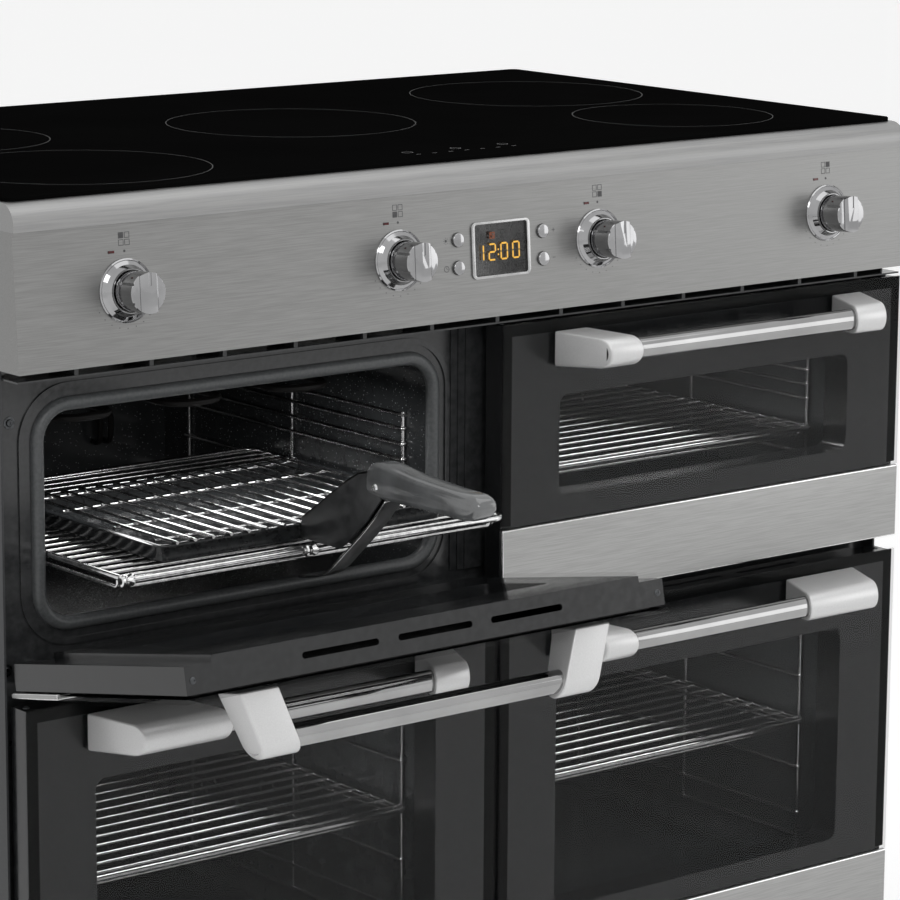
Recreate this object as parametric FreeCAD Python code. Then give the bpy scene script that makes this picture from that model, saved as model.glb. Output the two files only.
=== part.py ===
import FreeCAD
import Part
import math
import os

V = FreeCAD.Vector

# Free-standing electric range cooker: induction hob, tilted fascia and four drop-down doors.
# X runs along the front, Y runs from the front to the back and Z is up. Lengths are millimetres.
# The model is laid out with Y zero at the front edge of the side panels and is centred at the end.

# Overall
cooker_width = 1000.0
cabinet_depth = 570.0
hob_height = 900.0
centre_shift_y = -125.75
overrun = 5.0

# Hob
glass_thickness = 4.0
glass_side_inset = 3.0
glass_front_y = -9.6
glass_rear_inset = 12.0
glass_corner_radius = 8.0
glass_edge_chamfer = 0.8
trim_height = 23.0
trim_front_y = -25.0
trim_nose_radius = 17.5
trim_bar_back_y = 17.0
trim_sheet = 1.5
trim_ledge = 25.0

# Induction coils on their tray
coil_tray_sheet = 1.5
coil_tray_margin = 12.0
coil_tray_lip = 15.0
coil_thickness = 12.0
coil_hub_radius = 14.0
coil_air_gap = 1.5
small_coil_radius = 70.0
large_coil_radius = 90.0
coil_wall_gap = 1.5
coil_place_shares = ((-0.345, 0.0, 1), (-0.335, 0.7, 0), (0.0, 0.5, 1), (0.335, 0.05, 0), (0.345, 0.73, 1))

# Fascia
fascia_height = 114.5
fascia_top_y = -22.5
fascia_bottom_y = -30.4
fascia_sheet = 1.5
fascia_floor_back_y = 8.0
fascia_roof_back_y = 14.0

# Knobs, indicators and rotary switches
knob_place_shares = (-0.394, -0.1125, 0.1135, 0.397)
knob_rise = 59.0
bezel_outer_radius = 26.5
bezel_inner_radius = 17.6
bezel_height = 8.5
bezel_outline_shares = (
    (1.0, 0.0), (1.0, 0.14), (0.88, 0.24), (0.79, 0.17), (0.44, 0.38),
    (0.13, 0.85), (0.09, 1.0), (0.02, 1.0), (0.0, 0.94), (0.0, 0.0),
)
knob_radius = 16.9
knob_gap = 0.5
knob_body_height = 33.0
knob_height = 35.8
knob_grip_width = 17.2
knob_grip_chamfer = 2.0
knob_edge_chamfer = 0.6
knob_groove_width = 2.0
knob_groove_depth = 1.0
knob_groove_rise = 8.0
knob_groove_length = 18.0
knob_pointer_width = 2.6
knob_pointer_length = 11.0
knob_pointer_depth = 0.7
spindle_radius = 3.0
spindle_clearance = 0.1
spindle_socket_depth = 9.0
spindle_hole_radius = 5.0
switch_width = 42.0
switch_height = 46.0
switch_depth = 34.0
switch_edge_chamfer = 2.0
indicator_offset = 13.0
indicator_rise = 91.5
indicator_width = 5.6
indicator_height = 2.2
indicator_flange = 1.0
indicator_proud = 0.6

# Clock and its buttons
clock_rise = 59.5
clock_width = 66.0
clock_height = 50.0
clock_corner_radius = 5.0
clock_proud = 1.6
clock_case_width = 62.0
clock_case_height = 48.0
clock_case_depth = 30.0
clock_board_width = 122.0
clock_board_y = 12.0
clock_board_thickness = 2.0
clock_window_width = 59.0
clock_window_height = 45.5
clock_window_thickness = 2.0
clock_window_recess = 0.5
clock_window_radius = 2.5
button_x = 48.0
button_low_rise = 46.5
button_pitch = 24.5
button_radius = 6.2
button_clearance = 0.3
button_proud = 2.6
button_flange_radius = 7.6
button_flange_thickness = 1.2
button_stem_radius = 3.0
button_stem_depth = 8.0
button_edge_chamfer = 0.6

# Door rows
vent_gap = 9.0
upper_door_share = 0.40506
door_row_gap = 13.3
door_side_gap = 2.0
door_middle_gap = 4.0
door_outer_y = -30.5
door_open_angle = 78.8

# Door layers
outer_glass_thickness = 3.6
outer_glass_edge_chamfer = 0.8
strip_height = 70.0
strip_thickness = 5.0
strip_edge_chamfer = 0.8
strip_glass_gap = 0.6
door_frame_inset = 3.0
door_frame_bottom_rise = 3.0
door_frame_top_drop = 2.0
door_frame_back_y = -1.5
door_frame_land_inset = 12.0
door_land_thickness = 2.9
door_frame_sheet = 2.0
door_frame_floor = 4.0
door_bead_inset = 27.0
door_bead_back_y = 7.3
door_bead_bottom = 24.0
inner_glass_thickness = 3.3
inner_glass_overhang = 2.0
inner_glass_corner_radius = 6.0
window_side_margin = 23.0
window_top_drop = 70.0
window_bottom_rise = 92.5
window_corner_radius = 10.0
door_slot_length = 76.0
door_slot_width = 5.5
door_slot_pitch = 95.5
door_slot_count = 3
door_slot_y = -9.7

# Door hinges
hinge_rise = 10.0
hinge_y = -14.6
hinge_inset = 34.0
hinge_notch_width = 16.0
hinge_notch_height = 19.0
hinge_notch_gap = 0.6
hinge_arm_width = 8.0
hinge_arm_height = 10.0
hinge_slot_gap = 0.5
hinge_pin_radius = 3.0
hinge_pin_clearance = 0.1
hinge_pin_reach = 9.0
hinge_eye_radius = 6.5
hinge_box_depth = 60.0
hinge_box_width = 13.0
hinge_box_height = 26.0

# Door handles
handle_inset = 57.3
handle_drop = 26.6
handle_root_height = 32.0
handle_nose_radius = 13.6
handle_axis_reach = 43.0
handle_lean = 20.0
handle_block_width = 38.0
handle_wide_block_width = 89.0
handle_bar_radius = 10.0

# Openings, front frame and cavities
opening_side_margin = 45.0
opening_bottom_margin = 46.4
opening_top_margin = 31.7
opening_corner_radius = 26.0
front_plate_y = 14.0
front_plate_thickness = 2.0
front_shelf_drop = 8.0
front_rib_height = 1.6
front_rib_width = 5.0
front_rib_gap = 3.0
centre_post_margin = 30.0
centre_post_half_width = 24.0
centre_post_shares = (1.0, 0.7, 0.4)
centre_post_step = 1.6
vent_shelf_front_y = -24.0
vent_shelf_sheet = 1.5
vent_rib_side_count = 6
vent_rib_pitch_share = 0.0735
vent_rib_width = 4.0
vent_rib_setback = 1.0
cavity_rear_gap = 140.0
liner_thickness = 1.5
liner_flange = 12.0
gasket_lap = 2.0
gasket_width = 12.0
gasket_front_y = 8.0
gasket_edge_chamfer = 3.0

# Cabinet shell
panel_thickness = 2.0
panel_flange = 14.0
foot_height = 22.0
foot_radius = 20.0
foot_pad_height = 6.0
foot_edge_chamfer = 1.5
foot_stem_radius = 6.0
foot_nut_radius = 11.0
foot_nut_height = 6.0
foot_nut_sides = 6
foot_inset_x = 60.0
foot_inset_y = 60.0
plinth_board_height = 78.2
plinth_gap = 4.0
plinth_y = 38.0
back_vent_length = 70.0
back_vent_width = 6.0
back_vent_count = 8
back_vent_pitch = 100.0
back_vent_rows = 3
back_vent_row_pitch = 18.0
back_vent_drop = 60.0

# Side racks
wire_sides = 8
rack_wire_radius = 2.0
rack_cross_radius = 1.6
rack_wire_overhang = 3.0
rack_rail_inset = 4.5
rack_front_inset = 33.0
rack_rear_inset = 45.0
rack_foot_rise = 28.0
rack_top_rise = 12.0
rack_guard_clearance = 0.8
rack_wall_gap = 0.02
upper_rack_first_share = 0.2906
upper_rail_pitch_share = 0.1475
upper_rails_above = 3
lower_rack_first_share = 0.17355
lower_rail_pitch_share = 0.15777
lower_rail_count = 5

# Shelves
shelf_side_gap = 4.5
shelf_wire_radius = 2.6
shelf_bar_radius = 1.6
shelf_bar_rise = 0.8
shelf_rear_gap = 20.0
lower_shelf_rear_gap = 42.0
lower_shelf_slot = 2
shelf_closed_y = 30.0
shelf_rail_drop = 4.9
shelf_corner_radius = 12.0
shelf_end_margin = 14.0
shelf_low_wire_drop = 8.0
shelf_low_wire_radius = 1.4
shelf_low_wire_inset = 9.0
shelf_low_wire_bend = 3.0
shelf_runner_setback = 16.0
shelf_runner_end_gap = 8.0
shelf_runner_drop = 9.0
shelf_runner_inset = 1.4
shelf_head_room = 22.0
shelf_runner_bend = 4.0
grill_shelf_pitch = 16.0
oven_shelf_pitch = 22.0
grill_shelf_travel = 134.0

# Grill pan and its grid
pan_width = 306.0
pan_depth = 230.0
pan_height = 15.5
pan_wall = 1.6
pan_rim_width = 6.0
pan_corner_radius = 14.0
pan_bottom_chamfer = 1.2
pan_set_back = 21.0
grid_wire_radius = 1.5
grid_pitch = 18.0
grid_bars = 16
grid_overhang = 1.0
grid_weld = 0.3
grid_cross_overhang = 4.0
grid_cross_shares = (0.12, 0.38, 0.72, 0.95)

# Detachable pan handle, in steps from the front edge of the pan rim
pan_handle_width = 23.0
pan_handle_sheet = 2.0
pan_handle_clearance = 0.5
pan_handle_web_drop = 11.0
pan_handle_web_lift = 7.0
pan_handle_web_reach = 89.0
pan_handle_web_rise = 60.0
pan_handle_web_back = 117.0
pan_handle_web_heel = 39.0
pan_handle_web_toe = 36.0
pan_handle_bridge = 18.0
pan_hook_half_width = 6.0
pan_hook_lap = 4.5
pan_handle_reach = 235.5
pan_handle_top = 69.9
pan_grip_shares = ((0.378, 0.587), (0.386, 0.887), (0.442, 0.987), (0.501, 1.0), (0.879, 0.901),
                   (0.972, 0.901), (1.0, 0.801), (1.0, 0.715), (0.96, 0.63), (0.9, 0.565), (0.476, 0.558))
pan_grip_round = 5.0
pan_tongue_width = 19.0
pan_tongue_shares = ((0.488, 0.565), (0.391, 0.215), (0.263, -0.172), (0.132, -0.524), (-0.021, -0.658))
pan_rivet_shares = (0.442, 0.701)
pan_handle_rivet_radius = 3.5
pan_handle_rivet_proud = 1.5

# Heating elements
element_radius = 3.2
element_drop = 24.0
element_inset = 60.0
element_rear_inset = 40.0
element_runs = 6
element_bend_share = 0.385
element_bracket_width = 14.0
element_bracket_thickness = 2.0
element_bracket_shares = (0.2, 0.8)
lead_offset = 125.0
lead_pitch = 12.0
lead_low_rise = 48.0
lead_high_rise = 78.0
lead_stand_off = 14.0
lead_radius = 2.5
lead_bend = 8.0
ring_element_radius = 82.0
ring_element_stand_off = 12.0

# Oven fans, their covers and motors
fan_radius = 66.0
fan_hub_radius = 13.0
fan_blade_count = 8
fan_blade_width = 14.0
fan_blade_thickness = 1.5
fan_blade_gap = 0.5
fan_disc_thickness = 1.5
fan_rear_gap = 4.0
fan_shaft_radius = 3.0
fan_shaft_clearance = 0.1
fan_shaft_hole_radius = 4.0
fan_socket_depth = 9.0
fan_cover_width_share = 0.616
fan_cover_height_share = 0.671
fan_cover_depth = 26.0
fan_cover_thickness = 1.5
fan_cover_slot_inner_radius = 16.0
fan_cover_slot_outer_radius = 52.0
fan_cover_slot_width = 7.0
fan_cover_slot_count = 12
motor_radius = 34.0
motor_depth = 46.0
motor_plate_thickness = 2.0
motor_plate_radius = 46.0

# Worked-out levels and lines
half_width = cooker_width / 2
glass_z = hob_height - glass_thickness
trim_z = glass_z - trim_height
fascia_z = trim_z - fascia_height
front_shelf_z = fascia_z - front_shelf_drop
plinth_z = foot_height + plinth_board_height
lower_door_z = plinth_z + plinth_gap
upper_door_top = fascia_z - vent_gap
door_rows_height = upper_door_top - lower_door_z - door_row_gap
upper_door_height = upper_door_share * door_rows_height
lower_door_height = door_rows_height - upper_door_height
upper_door_z = upper_door_top - upper_door_height
lower_door_top = lower_door_z + lower_door_height
door_width = half_width - door_side_gap - door_middle_gap / 2
opening_width = door_width - 2 * opening_side_margin
window_width = opening_width - 2 * window_side_margin
handle_span = door_width - 2 * handle_inset
cavity_rear_y = cabinet_depth - cavity_rear_gap
front_plate_back_y = front_plate_y + front_plate_thickness
frame_front_y = door_outer_y + outer_glass_thickness + door_land_thickness
fascia_tilt = math.atan2(fascia_top_y - fascia_bottom_y, fascia_height)
knob_xs = [share * cooker_width for share in knob_place_shares]
button_rises = (button_low_rise, button_low_rise + button_pitch)
shelf_width = opening_width - 2 * shelf_side_gap
shelf_depth = cavity_rear_y - shelf_rear_gap - shelf_closed_y
lower_shelf_depth = cavity_rear_y - lower_shelf_rear_gap - shelf_closed_y

# Rails of the side racks, up from the bottom of the opening
opening_margins = opening_bottom_margin + opening_top_margin
upper_opening_height = upper_door_height - opening_margins
lower_opening_height = lower_door_height - opening_margins
upper_first_rise = upper_rack_first_share * upper_opening_height
lower_first_rise = lower_rack_first_share * lower_opening_height
shelf_top_rise = shelf_rail_drop + shelf_head_room + shelf_bar_radius
guarded_rise = upper_first_rise + shelf_top_rise + rack_wire_radius + rack_guard_clearance
upper_rail_pitch = upper_rail_pitch_share * (upper_opening_height - guarded_rise)
lower_rail_pitch = lower_rail_pitch_share * lower_opening_height
upper_rail_rises = [upper_first_rise]
for step in range(upper_rails_above):
    upper_rail_rises.append(guarded_rise + step * upper_rail_pitch)
lower_rail_rises = [lower_first_rise + step * lower_rail_pitch for step in range(lower_rail_count)]

# Every door: name, centre along X, bottom and height
door_centre = door_middle_gap / 2 + door_width / 2
doors = (
    ("top_left", -door_centre, upper_door_z, upper_door_height),
    ("top_right", door_centre, upper_door_z, upper_door_height),
    ("bottom_left", -door_centre, lower_door_z, lower_door_height),
    ("bottom_right", door_centre, lower_door_z, lower_door_height),
)


def box(x0, x1, y0, y1, z0, z1):
    """Box between three pairs of planes."""
    return Part.makeBox(x1 - x0, y1 - y0, z1 - z0, V(x0, y0, z0))


def bar(start, end, radius):
    """Round bar from one point to another."""
    line = end.sub(start)
    return Part.makeCylinder(radius, line.Length, start, line)


def wire_outline(centre, along, radius):
    """Section of drawn wire as an even-sided outline whose flats lie at the wire's radius."""
    along = V(along).normalize()
    lift = V(0, 0, 1) if abs(along.z) < abs(along.y) + abs(along.x) else V(0, 1, 0)
    across = along.cross(lift).normalize()
    reach = radius / math.cos(math.pi / wire_sides)
    points = []
    for index in range(wire_sides):
        angle = (index + 0.5) * 2 * math.pi / wire_sides
        side_step = V(across).multiply(reach * math.cos(angle))
        lift_step = V(lift).multiply(reach * math.sin(angle))
        points.append(centre.add(side_step).add(lift_step))
    return Part.makePolygon(points + [points[0]])


def wire(start, end, radius):
    """Straight piece of wire from one point to another."""
    line = end.sub(start)
    return Part.Face(wire_outline(start, line, radius)).extrude(line)


def chamfered(shape, width, kept):
    """Shape with one chamfer width on the edges that are kept."""
    return shape.makeChamfer(width, [edge for edge in shape.Edges if kept(edge)])


def fused(shapes):
    """One shape from several that touch or overlap."""
    first = shapes[0]
    if len(shapes) == 1:
        return first
    return first.fuse(shapes[1:]).removeSplitter()


def prism_x(points, x0, x1):
    """Outline of (y, z) points carried along X."""
    vectors = [V(x0, y, z) for y, z in points]
    face = Part.Face(Part.makePolygon(vectors + [vectors[0]]))
    return face.extrude(V(x1 - x0, 0, 0))


def prism_y(points, y0, y1):
    """Outline of (x, z) points carried along Y."""
    vectors = [V(x, y0, z) for x, z in points]
    face = Part.Face(Part.makePolygon(vectors + [vectors[0]]))
    return face.extrude(V(0, y1 - y0, 0))


def prism_z(points, z0, z1):
    """Outline of (x, y) points carried along Z."""
    vectors = [V(x, y, z0) for x, y in points]
    face = Part.Face(Part.makePolygon(vectors + [vectors[0]]))
    return face.extrude(V(0, 0, z1 - z0))


def rounded_outline(x0, x1, z0, z1, radius, y):
    """Closed outline of a rounded rectangle in a plane of constant Y."""
    near = radius * (1 - math.sqrt(0.5))
    corners = (
        (V(x0, y, z0 + radius), V(x0 + near, y, z0 + near), V(x0 + radius, y, z0)),
        (V(x1 - radius, y, z0), V(x1 - near, y, z0 + near), V(x1, y, z0 + radius)),
        (V(x1, y, z1 - radius), V(x1 - near, y, z1 - near), V(x1 - radius, y, z1)),
        (V(x0 + radius, y, z1), V(x0 + near, y, z1 - near), V(x0, y, z1 - radius)),
    )
    edges = []
    for index, (start, middle, end) in enumerate(corners):
        following = corners[(index + 1) % len(corners)]
        edges.append(Part.Arc(start, middle, end).toShape())
        edges.append(Part.LineSegment(end, following[0]).toShape())
    return Part.Wire(edges)


def rounded_plate(x0, x1, z0, z1, radius, y0, y1):
    """Rounded rectangle in the XZ plane, from y0 to y1."""
    face = Part.Face(rounded_outline(x0, x1, z0, z1, radius, y0))
    return face.extrude(V(0, y1 - y0, 0))


def flat_plate(x0, x1, y0, y1, radius, z0, z1):
    """Rounded rectangle in the XY plane, from z0 to z1."""
    plate = rounded_plate(x0, x1, y0, y1, radius, -z1, -z0)
    plate.rotate(V(0, 0, 0), V(1, 0, 0), -90)
    return plate


def slot(x, y, length, width, z0, z1):
    """Round-ended slot along X, from z0 to z1."""
    half = (length - width) / 2
    ends = [Part.makeCylinder(width / 2, z1 - z0, V(x + side * half, y, z0)) for side in (-1, 1)]
    return fused([box(x - half, x + half, y - width / 2, y + width / 2, z0, z1)] + ends)


def rod(points, radius, bend):
    """Wire along a line of points, bent to one radius at each inner point."""
    edges = []
    start = points[0]
    for index in range(1, len(points) - 1):
        corner = points[index]
        back = points[index - 1].sub(corner).normalize()
        ahead = points[index + 1].sub(corner).normalize()
        turn = math.pi - back.getAngle(ahead)
        reach = bend * math.tan(turn / 2)
        arc_start = corner.add(V(back).multiply(reach))
        arc_end = corner.add(V(ahead).multiply(reach))
        inward = back.add(ahead).normalize()
        depth = bend / math.cos(turn / 2) - bend
        middle = corner.add(inward.multiply(depth))
        edges.append(Part.LineSegment(start, arc_start).toShape())
        edges.append(Part.Arc(arc_start, middle, arc_end).toShape())
        start = arc_end
    edges.append(Part.LineSegment(start, points[-1]).toShape())
    line = points[1].sub(points[0])
    section = Part.Wire(wire_outline(points[0], line, radius))
    return Part.Wire(edges).makePipeShell([section], True, False)


def on_fascia(shape):
    """Move a shape from the upright plane onto the tilted front of the fascia."""
    moved = shape.copy()
    moved.rotate(V(0, 0, 0), V(1, 0, 0), -math.degrees(fascia_tilt))
    moved.translate(V(0, fascia_bottom_y, fascia_z))
    return moved


def save(name, shapes):
    """Write one piece, moved so that the whole object is centred."""
    solids = []
    for shape in shapes:
        solids += shape.Solids
    whole = solids[0] if len(solids) == 1 else Part.makeCompound(solids)
    whole = whole.copy()
    whole.translate(V(0, centre_shift_y, 0))
    whole.exportStep("parts/" + name + ".step")


# Hob glass and its trim
def make_hob_glass():
    half = half_width - glass_side_inset
    plate = flat_plate(-half, half, glass_front_y, cabinet_depth - glass_rear_inset,
                       glass_corner_radius, glass_z, hob_height)
    return chamfered(plate, glass_edge_chamfer,
                     lambda edge: edge.BoundBox.ZMin > hob_height - glass_edge_chamfer / 2)


def bullnose(front_y, nose_radius, z0, top_z, back_y, x0, x1):
    """Bar section with a flat lip, a quarter-round nose and a flat top."""
    turn = math.sqrt(0.5)
    nose_y = front_y + nose_radius
    nose_z = top_z - nose_radius
    edges = [
        Part.LineSegment(V(x0, back_y, z0), V(x0, front_y, z0)).toShape(),
        Part.LineSegment(V(x0, front_y, z0), V(x0, front_y, nose_z)).toShape(),
        Part.Arc(V(x0, front_y, nose_z), V(x0, nose_y - nose_radius * turn, nose_z + nose_radius * turn),
                 V(x0, nose_y, top_z)).toShape(),
        Part.LineSegment(V(x0, nose_y, top_z), V(x0, back_y, top_z)).toShape(),
        Part.LineSegment(V(x0, back_y, top_z), V(x0, back_y, z0)).toShape(),
    ]
    return Part.Face(Part.Wire(edges)).extrude(V(x1 - x0, 0, 0))


def make_hob_trim():
    sheet = trim_sheet
    nose = bullnose(trim_front_y, trim_nose_radius, trim_z, glass_z,
                    trim_bar_back_y, -half_width, half_width)
    hollow = bullnose(trim_front_y + sheet, trim_nose_radius - sheet, trim_z + sheet, glass_z - sheet,
                      trim_bar_back_y + overrun, -half_width + sheet, half_width - sheet)
    pieces = [nose.cut(hollow)]
    for side in (-1, 1):
        outer = side * half_width
        xs = sorted((outer, outer - side * sheet))
        pieces.append(box(xs[0], xs[1], trim_bar_back_y, cabinet_depth, trim_z, glass_z))
        xs = sorted((outer, outer - side * trim_ledge))
        pieces.append(box(xs[0], xs[1], trim_bar_back_y, cabinet_depth, glass_z - sheet, glass_z))
    pieces.append(box(-half_width, half_width, cabinet_depth - sheet, cabinet_depth, trim_z, glass_z))
    pieces.append(box(-half_width, half_width, cabinet_depth - trim_ledge, cabinet_depth,
                      glass_z - sheet, glass_z))
    return fused(pieces)


def make_hob_coils():
    half = half_width - trim_ledge
    front = trim_bar_back_y + coil_tray_margin
    rear = cabinet_depth - trim_ledge - coil_tray_margin
    top = glass_z - trim_sheet
    floor = glass_z - coil_air_gap - coil_thickness - coil_tray_sheet
    sheet = coil_tray_sheet
    tray = box(-half, half, front, rear, floor, top)
    inside = box(-half + sheet, half - sheet, front + sheet, rear - sheet, floor + sheet, top + overrun)
    lips = [box(-half - coil_tray_lip, -half, front, rear, top - sheet, top),
            box(half, half + coil_tray_lip, front, rear, top - sheet, top)]
    pieces = [fused([tray.cut(inside)] + lips)]
    for share_x, share_y, large in coil_place_shares:
        radius = large_coil_radius if large else small_coil_radius
        gap = sheet + coil_wall_gap + radius
        y = front + gap + share_y * (rear - front - 2 * gap)
        base = V(share_x * cooker_width, y, floor + sheet)
        ring = Part.makeCylinder(radius, coil_thickness, base)
        pieces.append(ring.cut(Part.makeCylinder(coil_hub_radius, coil_thickness, base)))
    return pieces


# Control fascia and what it carries
def make_fascia():
    sheet = fascia_sheet
    front = prism_x([(fascia_bottom_y, fascia_z), (fascia_top_y, trim_z), (fascia_top_y + sheet, trim_z),
                     (fascia_bottom_y + sheet, fascia_z)], -half_width, half_width)
    pieces = [front]
    inner = half_width - panel_thickness
    pieces.append(box(-inner, inner, fascia_bottom_y + sheet / 2, fascia_floor_back_y,
                      fascia_z, fascia_z + sheet))
    pieces.append(box(-inner, inner, fascia_top_y + sheet / 2, fascia_roof_back_y, trim_z - sheet, trim_z))
    for side in (-1, 1):
        xs = sorted((side * half_width, side * (half_width - sheet)))
        pieces.append(prism_x([(fascia_bottom_y, fascia_z), (fascia_top_y, trim_z), (0, trim_z),
                               (0, fascia_z)], xs[0], xs[1]))
    shell = fused(pieces)
    holes = []
    inward = V(0, 1, 0)
    for x in knob_xs:
        holes.append(Part.makeCylinder(spindle_hole_radius, 2 * overrun, V(x, -overrun, knob_rise), inward))
        half = indicator_width / 2
        tall = indicator_height / 2
        lens_x = x - indicator_offset
        holes.append(box(lens_x - half, lens_x + half, -overrun, overrun,
                         indicator_rise - tall, indicator_rise + tall))
    for x in (-button_x, button_x):
        for rise in button_rises:
            holes.append(Part.makeCylinder(button_radius + button_clearance, 2 * overrun,
                                           V(x, -overrun, rise), inward))
    half = clock_case_width / 2
    tall = clock_case_height / 2
    holes.append(box(-half, half, -overrun, overrun, clock_rise - tall, clock_rise + tall))
    return shell.cut([on_fascia(hole) for hole in holes])


def make_bezel(x):
    """Dished ring: a lip outside, a hollow cone and a raised edge round the knob."""
    width = bezel_outer_radius - bezel_inner_radius
    points = []
    for across, up in bezel_outline_shares:
        points.append(V(x + bezel_inner_radius + across * width, -up * bezel_height, knob_rise))
    face = Part.Face(Part.makePolygon(points + [points[0]]))
    return face.revolve(V(x, 0, knob_rise), V(0, 1, 0), 360)


def make_knob(x):
    """Round knob with a bar across its front, a pointer groove and finger grooves on its sides."""
    outward = V(0, -1, 0)
    body = Part.makeCylinder(knob_radius, knob_body_height - knob_gap, V(x, -knob_gap, knob_rise), outward)
    body = chamfered(body, knob_edge_chamfer, lambda edge: edge.BoundBox.YMax < -knob_body_height / 2)
    half = knob_grip_width / 2
    crown = half - knob_grip_chamfer
    shoulder = knob_height - knob_grip_chamfer
    grip = prism_z([(x - half, -knob_body_height / 2), (x - half, -shoulder), (x - crown, -knob_height),
                    (x + crown, -knob_height), (x + half, -shoulder), (x + half, -knob_body_height / 2)],
                   knob_rise - knob_radius, knob_rise + knob_radius)
    grip = grip.common(Part.makeCylinder(knob_radius, knob_height, V(x, 0, knob_rise), outward))
    cuts = [Part.makeCylinder(spindle_radius + spindle_clearance, spindle_socket_depth,
                              V(x, -knob_gap, knob_rise), outward)]
    narrow = knob_pointer_width / 2
    cuts.append(box(x - narrow, x + narrow, -knob_height - overrun, -knob_height + knob_pointer_depth,
                    knob_rise + knob_radius - knob_pointer_length, knob_rise + knob_radius + overrun))
    floor = math.sqrt(knob_radius ** 2 - knob_groove_rise ** 2) - knob_groove_depth
    groove = knob_groove_width / 2
    for side in (-1, 1):
        xs = sorted((x + side * floor, x + side * (knob_radius + overrun)))
        for up in (-1, 1):
            level = knob_rise + up * knob_groove_rise
            cuts.append(box(xs[0], xs[1], -knob_body_height - overrun, -knob_body_height + knob_groove_length,
                            level - groove, level + groove))
    return fused([body, grip]).cut(cuts)


def make_switch(x):
    half = switch_width / 2
    tall = switch_height / 2
    case = box(x - half, x + half, fascia_sheet, fascia_sheet + switch_depth,
               knob_rise - tall, knob_rise + tall)
    case = chamfered(case, switch_edge_chamfer, lambda edge: edge.BoundBox.YLength > switch_depth / 2)
    reach = fascia_sheet + spindle_socket_depth
    spindle = Part.makeCylinder(spindle_radius, reach, V(x, fascia_sheet, knob_rise), V(0, -1, 0))
    return fused([case, spindle])


def make_indicator(x):
    """Narrow lens through the fascia with a flange behind it."""
    middle = x - indicator_offset
    half = indicator_width / 2
    tall = indicator_height / 2
    lens = box(middle - half, middle + half, -indicator_proud, fascia_sheet,
               indicator_rise - tall, indicator_rise + tall)
    wide = half + indicator_flange
    deep = tall + indicator_flange
    flange = box(middle - wide, middle + wide, fascia_sheet, fascia_sheet + indicator_flange,
                 indicator_rise - deep, indicator_rise + deep)
    return fused([lens, flange])


def make_clock_case():
    half = clock_width / 2
    tall = clock_height / 2
    surround = rounded_plate(-half, half, clock_rise - tall, clock_rise + tall,
                             clock_corner_radius, -clock_proud, 0)
    half = clock_case_width / 2
    tall = clock_case_height / 2
    case = box(-half, half, 0, clock_case_depth, clock_rise - tall, clock_rise + tall)
    half = clock_board_width / 2
    board = box(-half, half, clock_board_y, clock_board_y + clock_board_thickness,
                clock_rise - tall, clock_rise + tall)
    half = clock_window_width / 2
    tall = clock_window_height / 2
    back = clock_window_recess - clock_proud + clock_window_thickness
    recess = rounded_plate(-half, half, clock_rise - tall, clock_rise + tall, clock_window_radius,
                           -clock_proud - overrun, back)
    return fused([surround, case, board]).cut(recess)


def make_clock_window():
    half = clock_window_width / 2
    tall = clock_window_height / 2
    front = clock_window_recess - clock_proud
    return rounded_plate(-half, half, clock_rise - tall, clock_rise + tall, clock_window_radius,
                         front, front + clock_window_thickness)


def make_button(x, rise):
    head = Part.makeCylinder(button_radius, button_proud + fascia_sheet + button_clearance,
                             V(x, fascia_sheet + button_clearance, rise), V(0, -1, 0))
    head = chamfered(head, button_edge_chamfer, lambda edge: edge.BoundBox.YMax < 0 and edge.Closed)
    flange = Part.makeCylinder(button_flange_radius, button_flange_thickness,
                               V(x, fascia_sheet + button_clearance, rise), V(0, 1, 0))
    stem = Part.makeCylinder(button_stem_radius, button_stem_depth,
                             V(x, fascia_sheet + button_clearance, rise), V(0, 1, 0))
    return fused([head, flange, stem])


# Cabinet shell
def make_side_panels():
    panels = []
    for side in (-1, 1):
        outer = side * half_width
        xs = sorted((outer, outer - side * panel_thickness))
        wall = box(xs[0], xs[1], 0, cabinet_depth - panel_thickness, foot_height, trim_z)
        xs = sorted((outer, outer - side * panel_flange))
        front = box(xs[0], xs[1], front_plate_back_y, front_plate_back_y + panel_thickness,
                    plinth_z, front_shelf_z)
        panels.append(fused([wall, front]))
    return panels


def make_back_panel():
    panel = box(-half_width, half_width, cabinet_depth - panel_thickness, cabinet_depth,
                foot_height, trim_z)
    cuts = []
    span = back_vent_pitch * (back_vent_count - 1)
    for row in range(back_vent_rows):
        z = trim_z - back_vent_drop - row * back_vent_row_pitch
        for index in range(back_vent_count):
            x = index * back_vent_pitch - span / 2
            half = back_vent_length / 2
            cuts.append(box(x - half, x + half, cabinet_depth - panel_thickness - overrun,
                            cabinet_depth + overrun, z, z + back_vent_width))
    return panel.cut(cuts)


def make_base_tray():
    inner = half_width - panel_thickness
    return box(-inner, inner, plinth_y + panel_thickness, cabinet_depth - panel_thickness,
               foot_height, foot_height + panel_thickness)


def make_plinth():
    inner = half_width - panel_thickness
    board = box(-inner, inner, plinth_y, plinth_y + panel_thickness, foot_height, plinth_z)
    lip = box(-inner, inner, front_plate_y, plinth_y + panel_thickness,
              plinth_z - panel_thickness, plinth_z)
    return fused([board, lip])


def make_foot(x, y):
    pad = Part.makeCylinder(foot_radius, foot_pad_height, V(x, y, 0))
    pad = chamfered(pad, foot_edge_chamfer, lambda edge: edge.BoundBox.ZMin > foot_pad_height / 2)
    stem = Part.makeCylinder(foot_stem_radius, foot_height, V(x, y, 0))
    points = []
    for index in range(foot_nut_sides):
        angle = index * 2 * math.pi / foot_nut_sides
        points.append((x + foot_nut_radius * math.cos(angle), y + foot_nut_radius * math.sin(angle)))
    nut = prism_z(points, foot_height - foot_nut_height, foot_height)
    return fused([pad, stem, nut])


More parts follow.
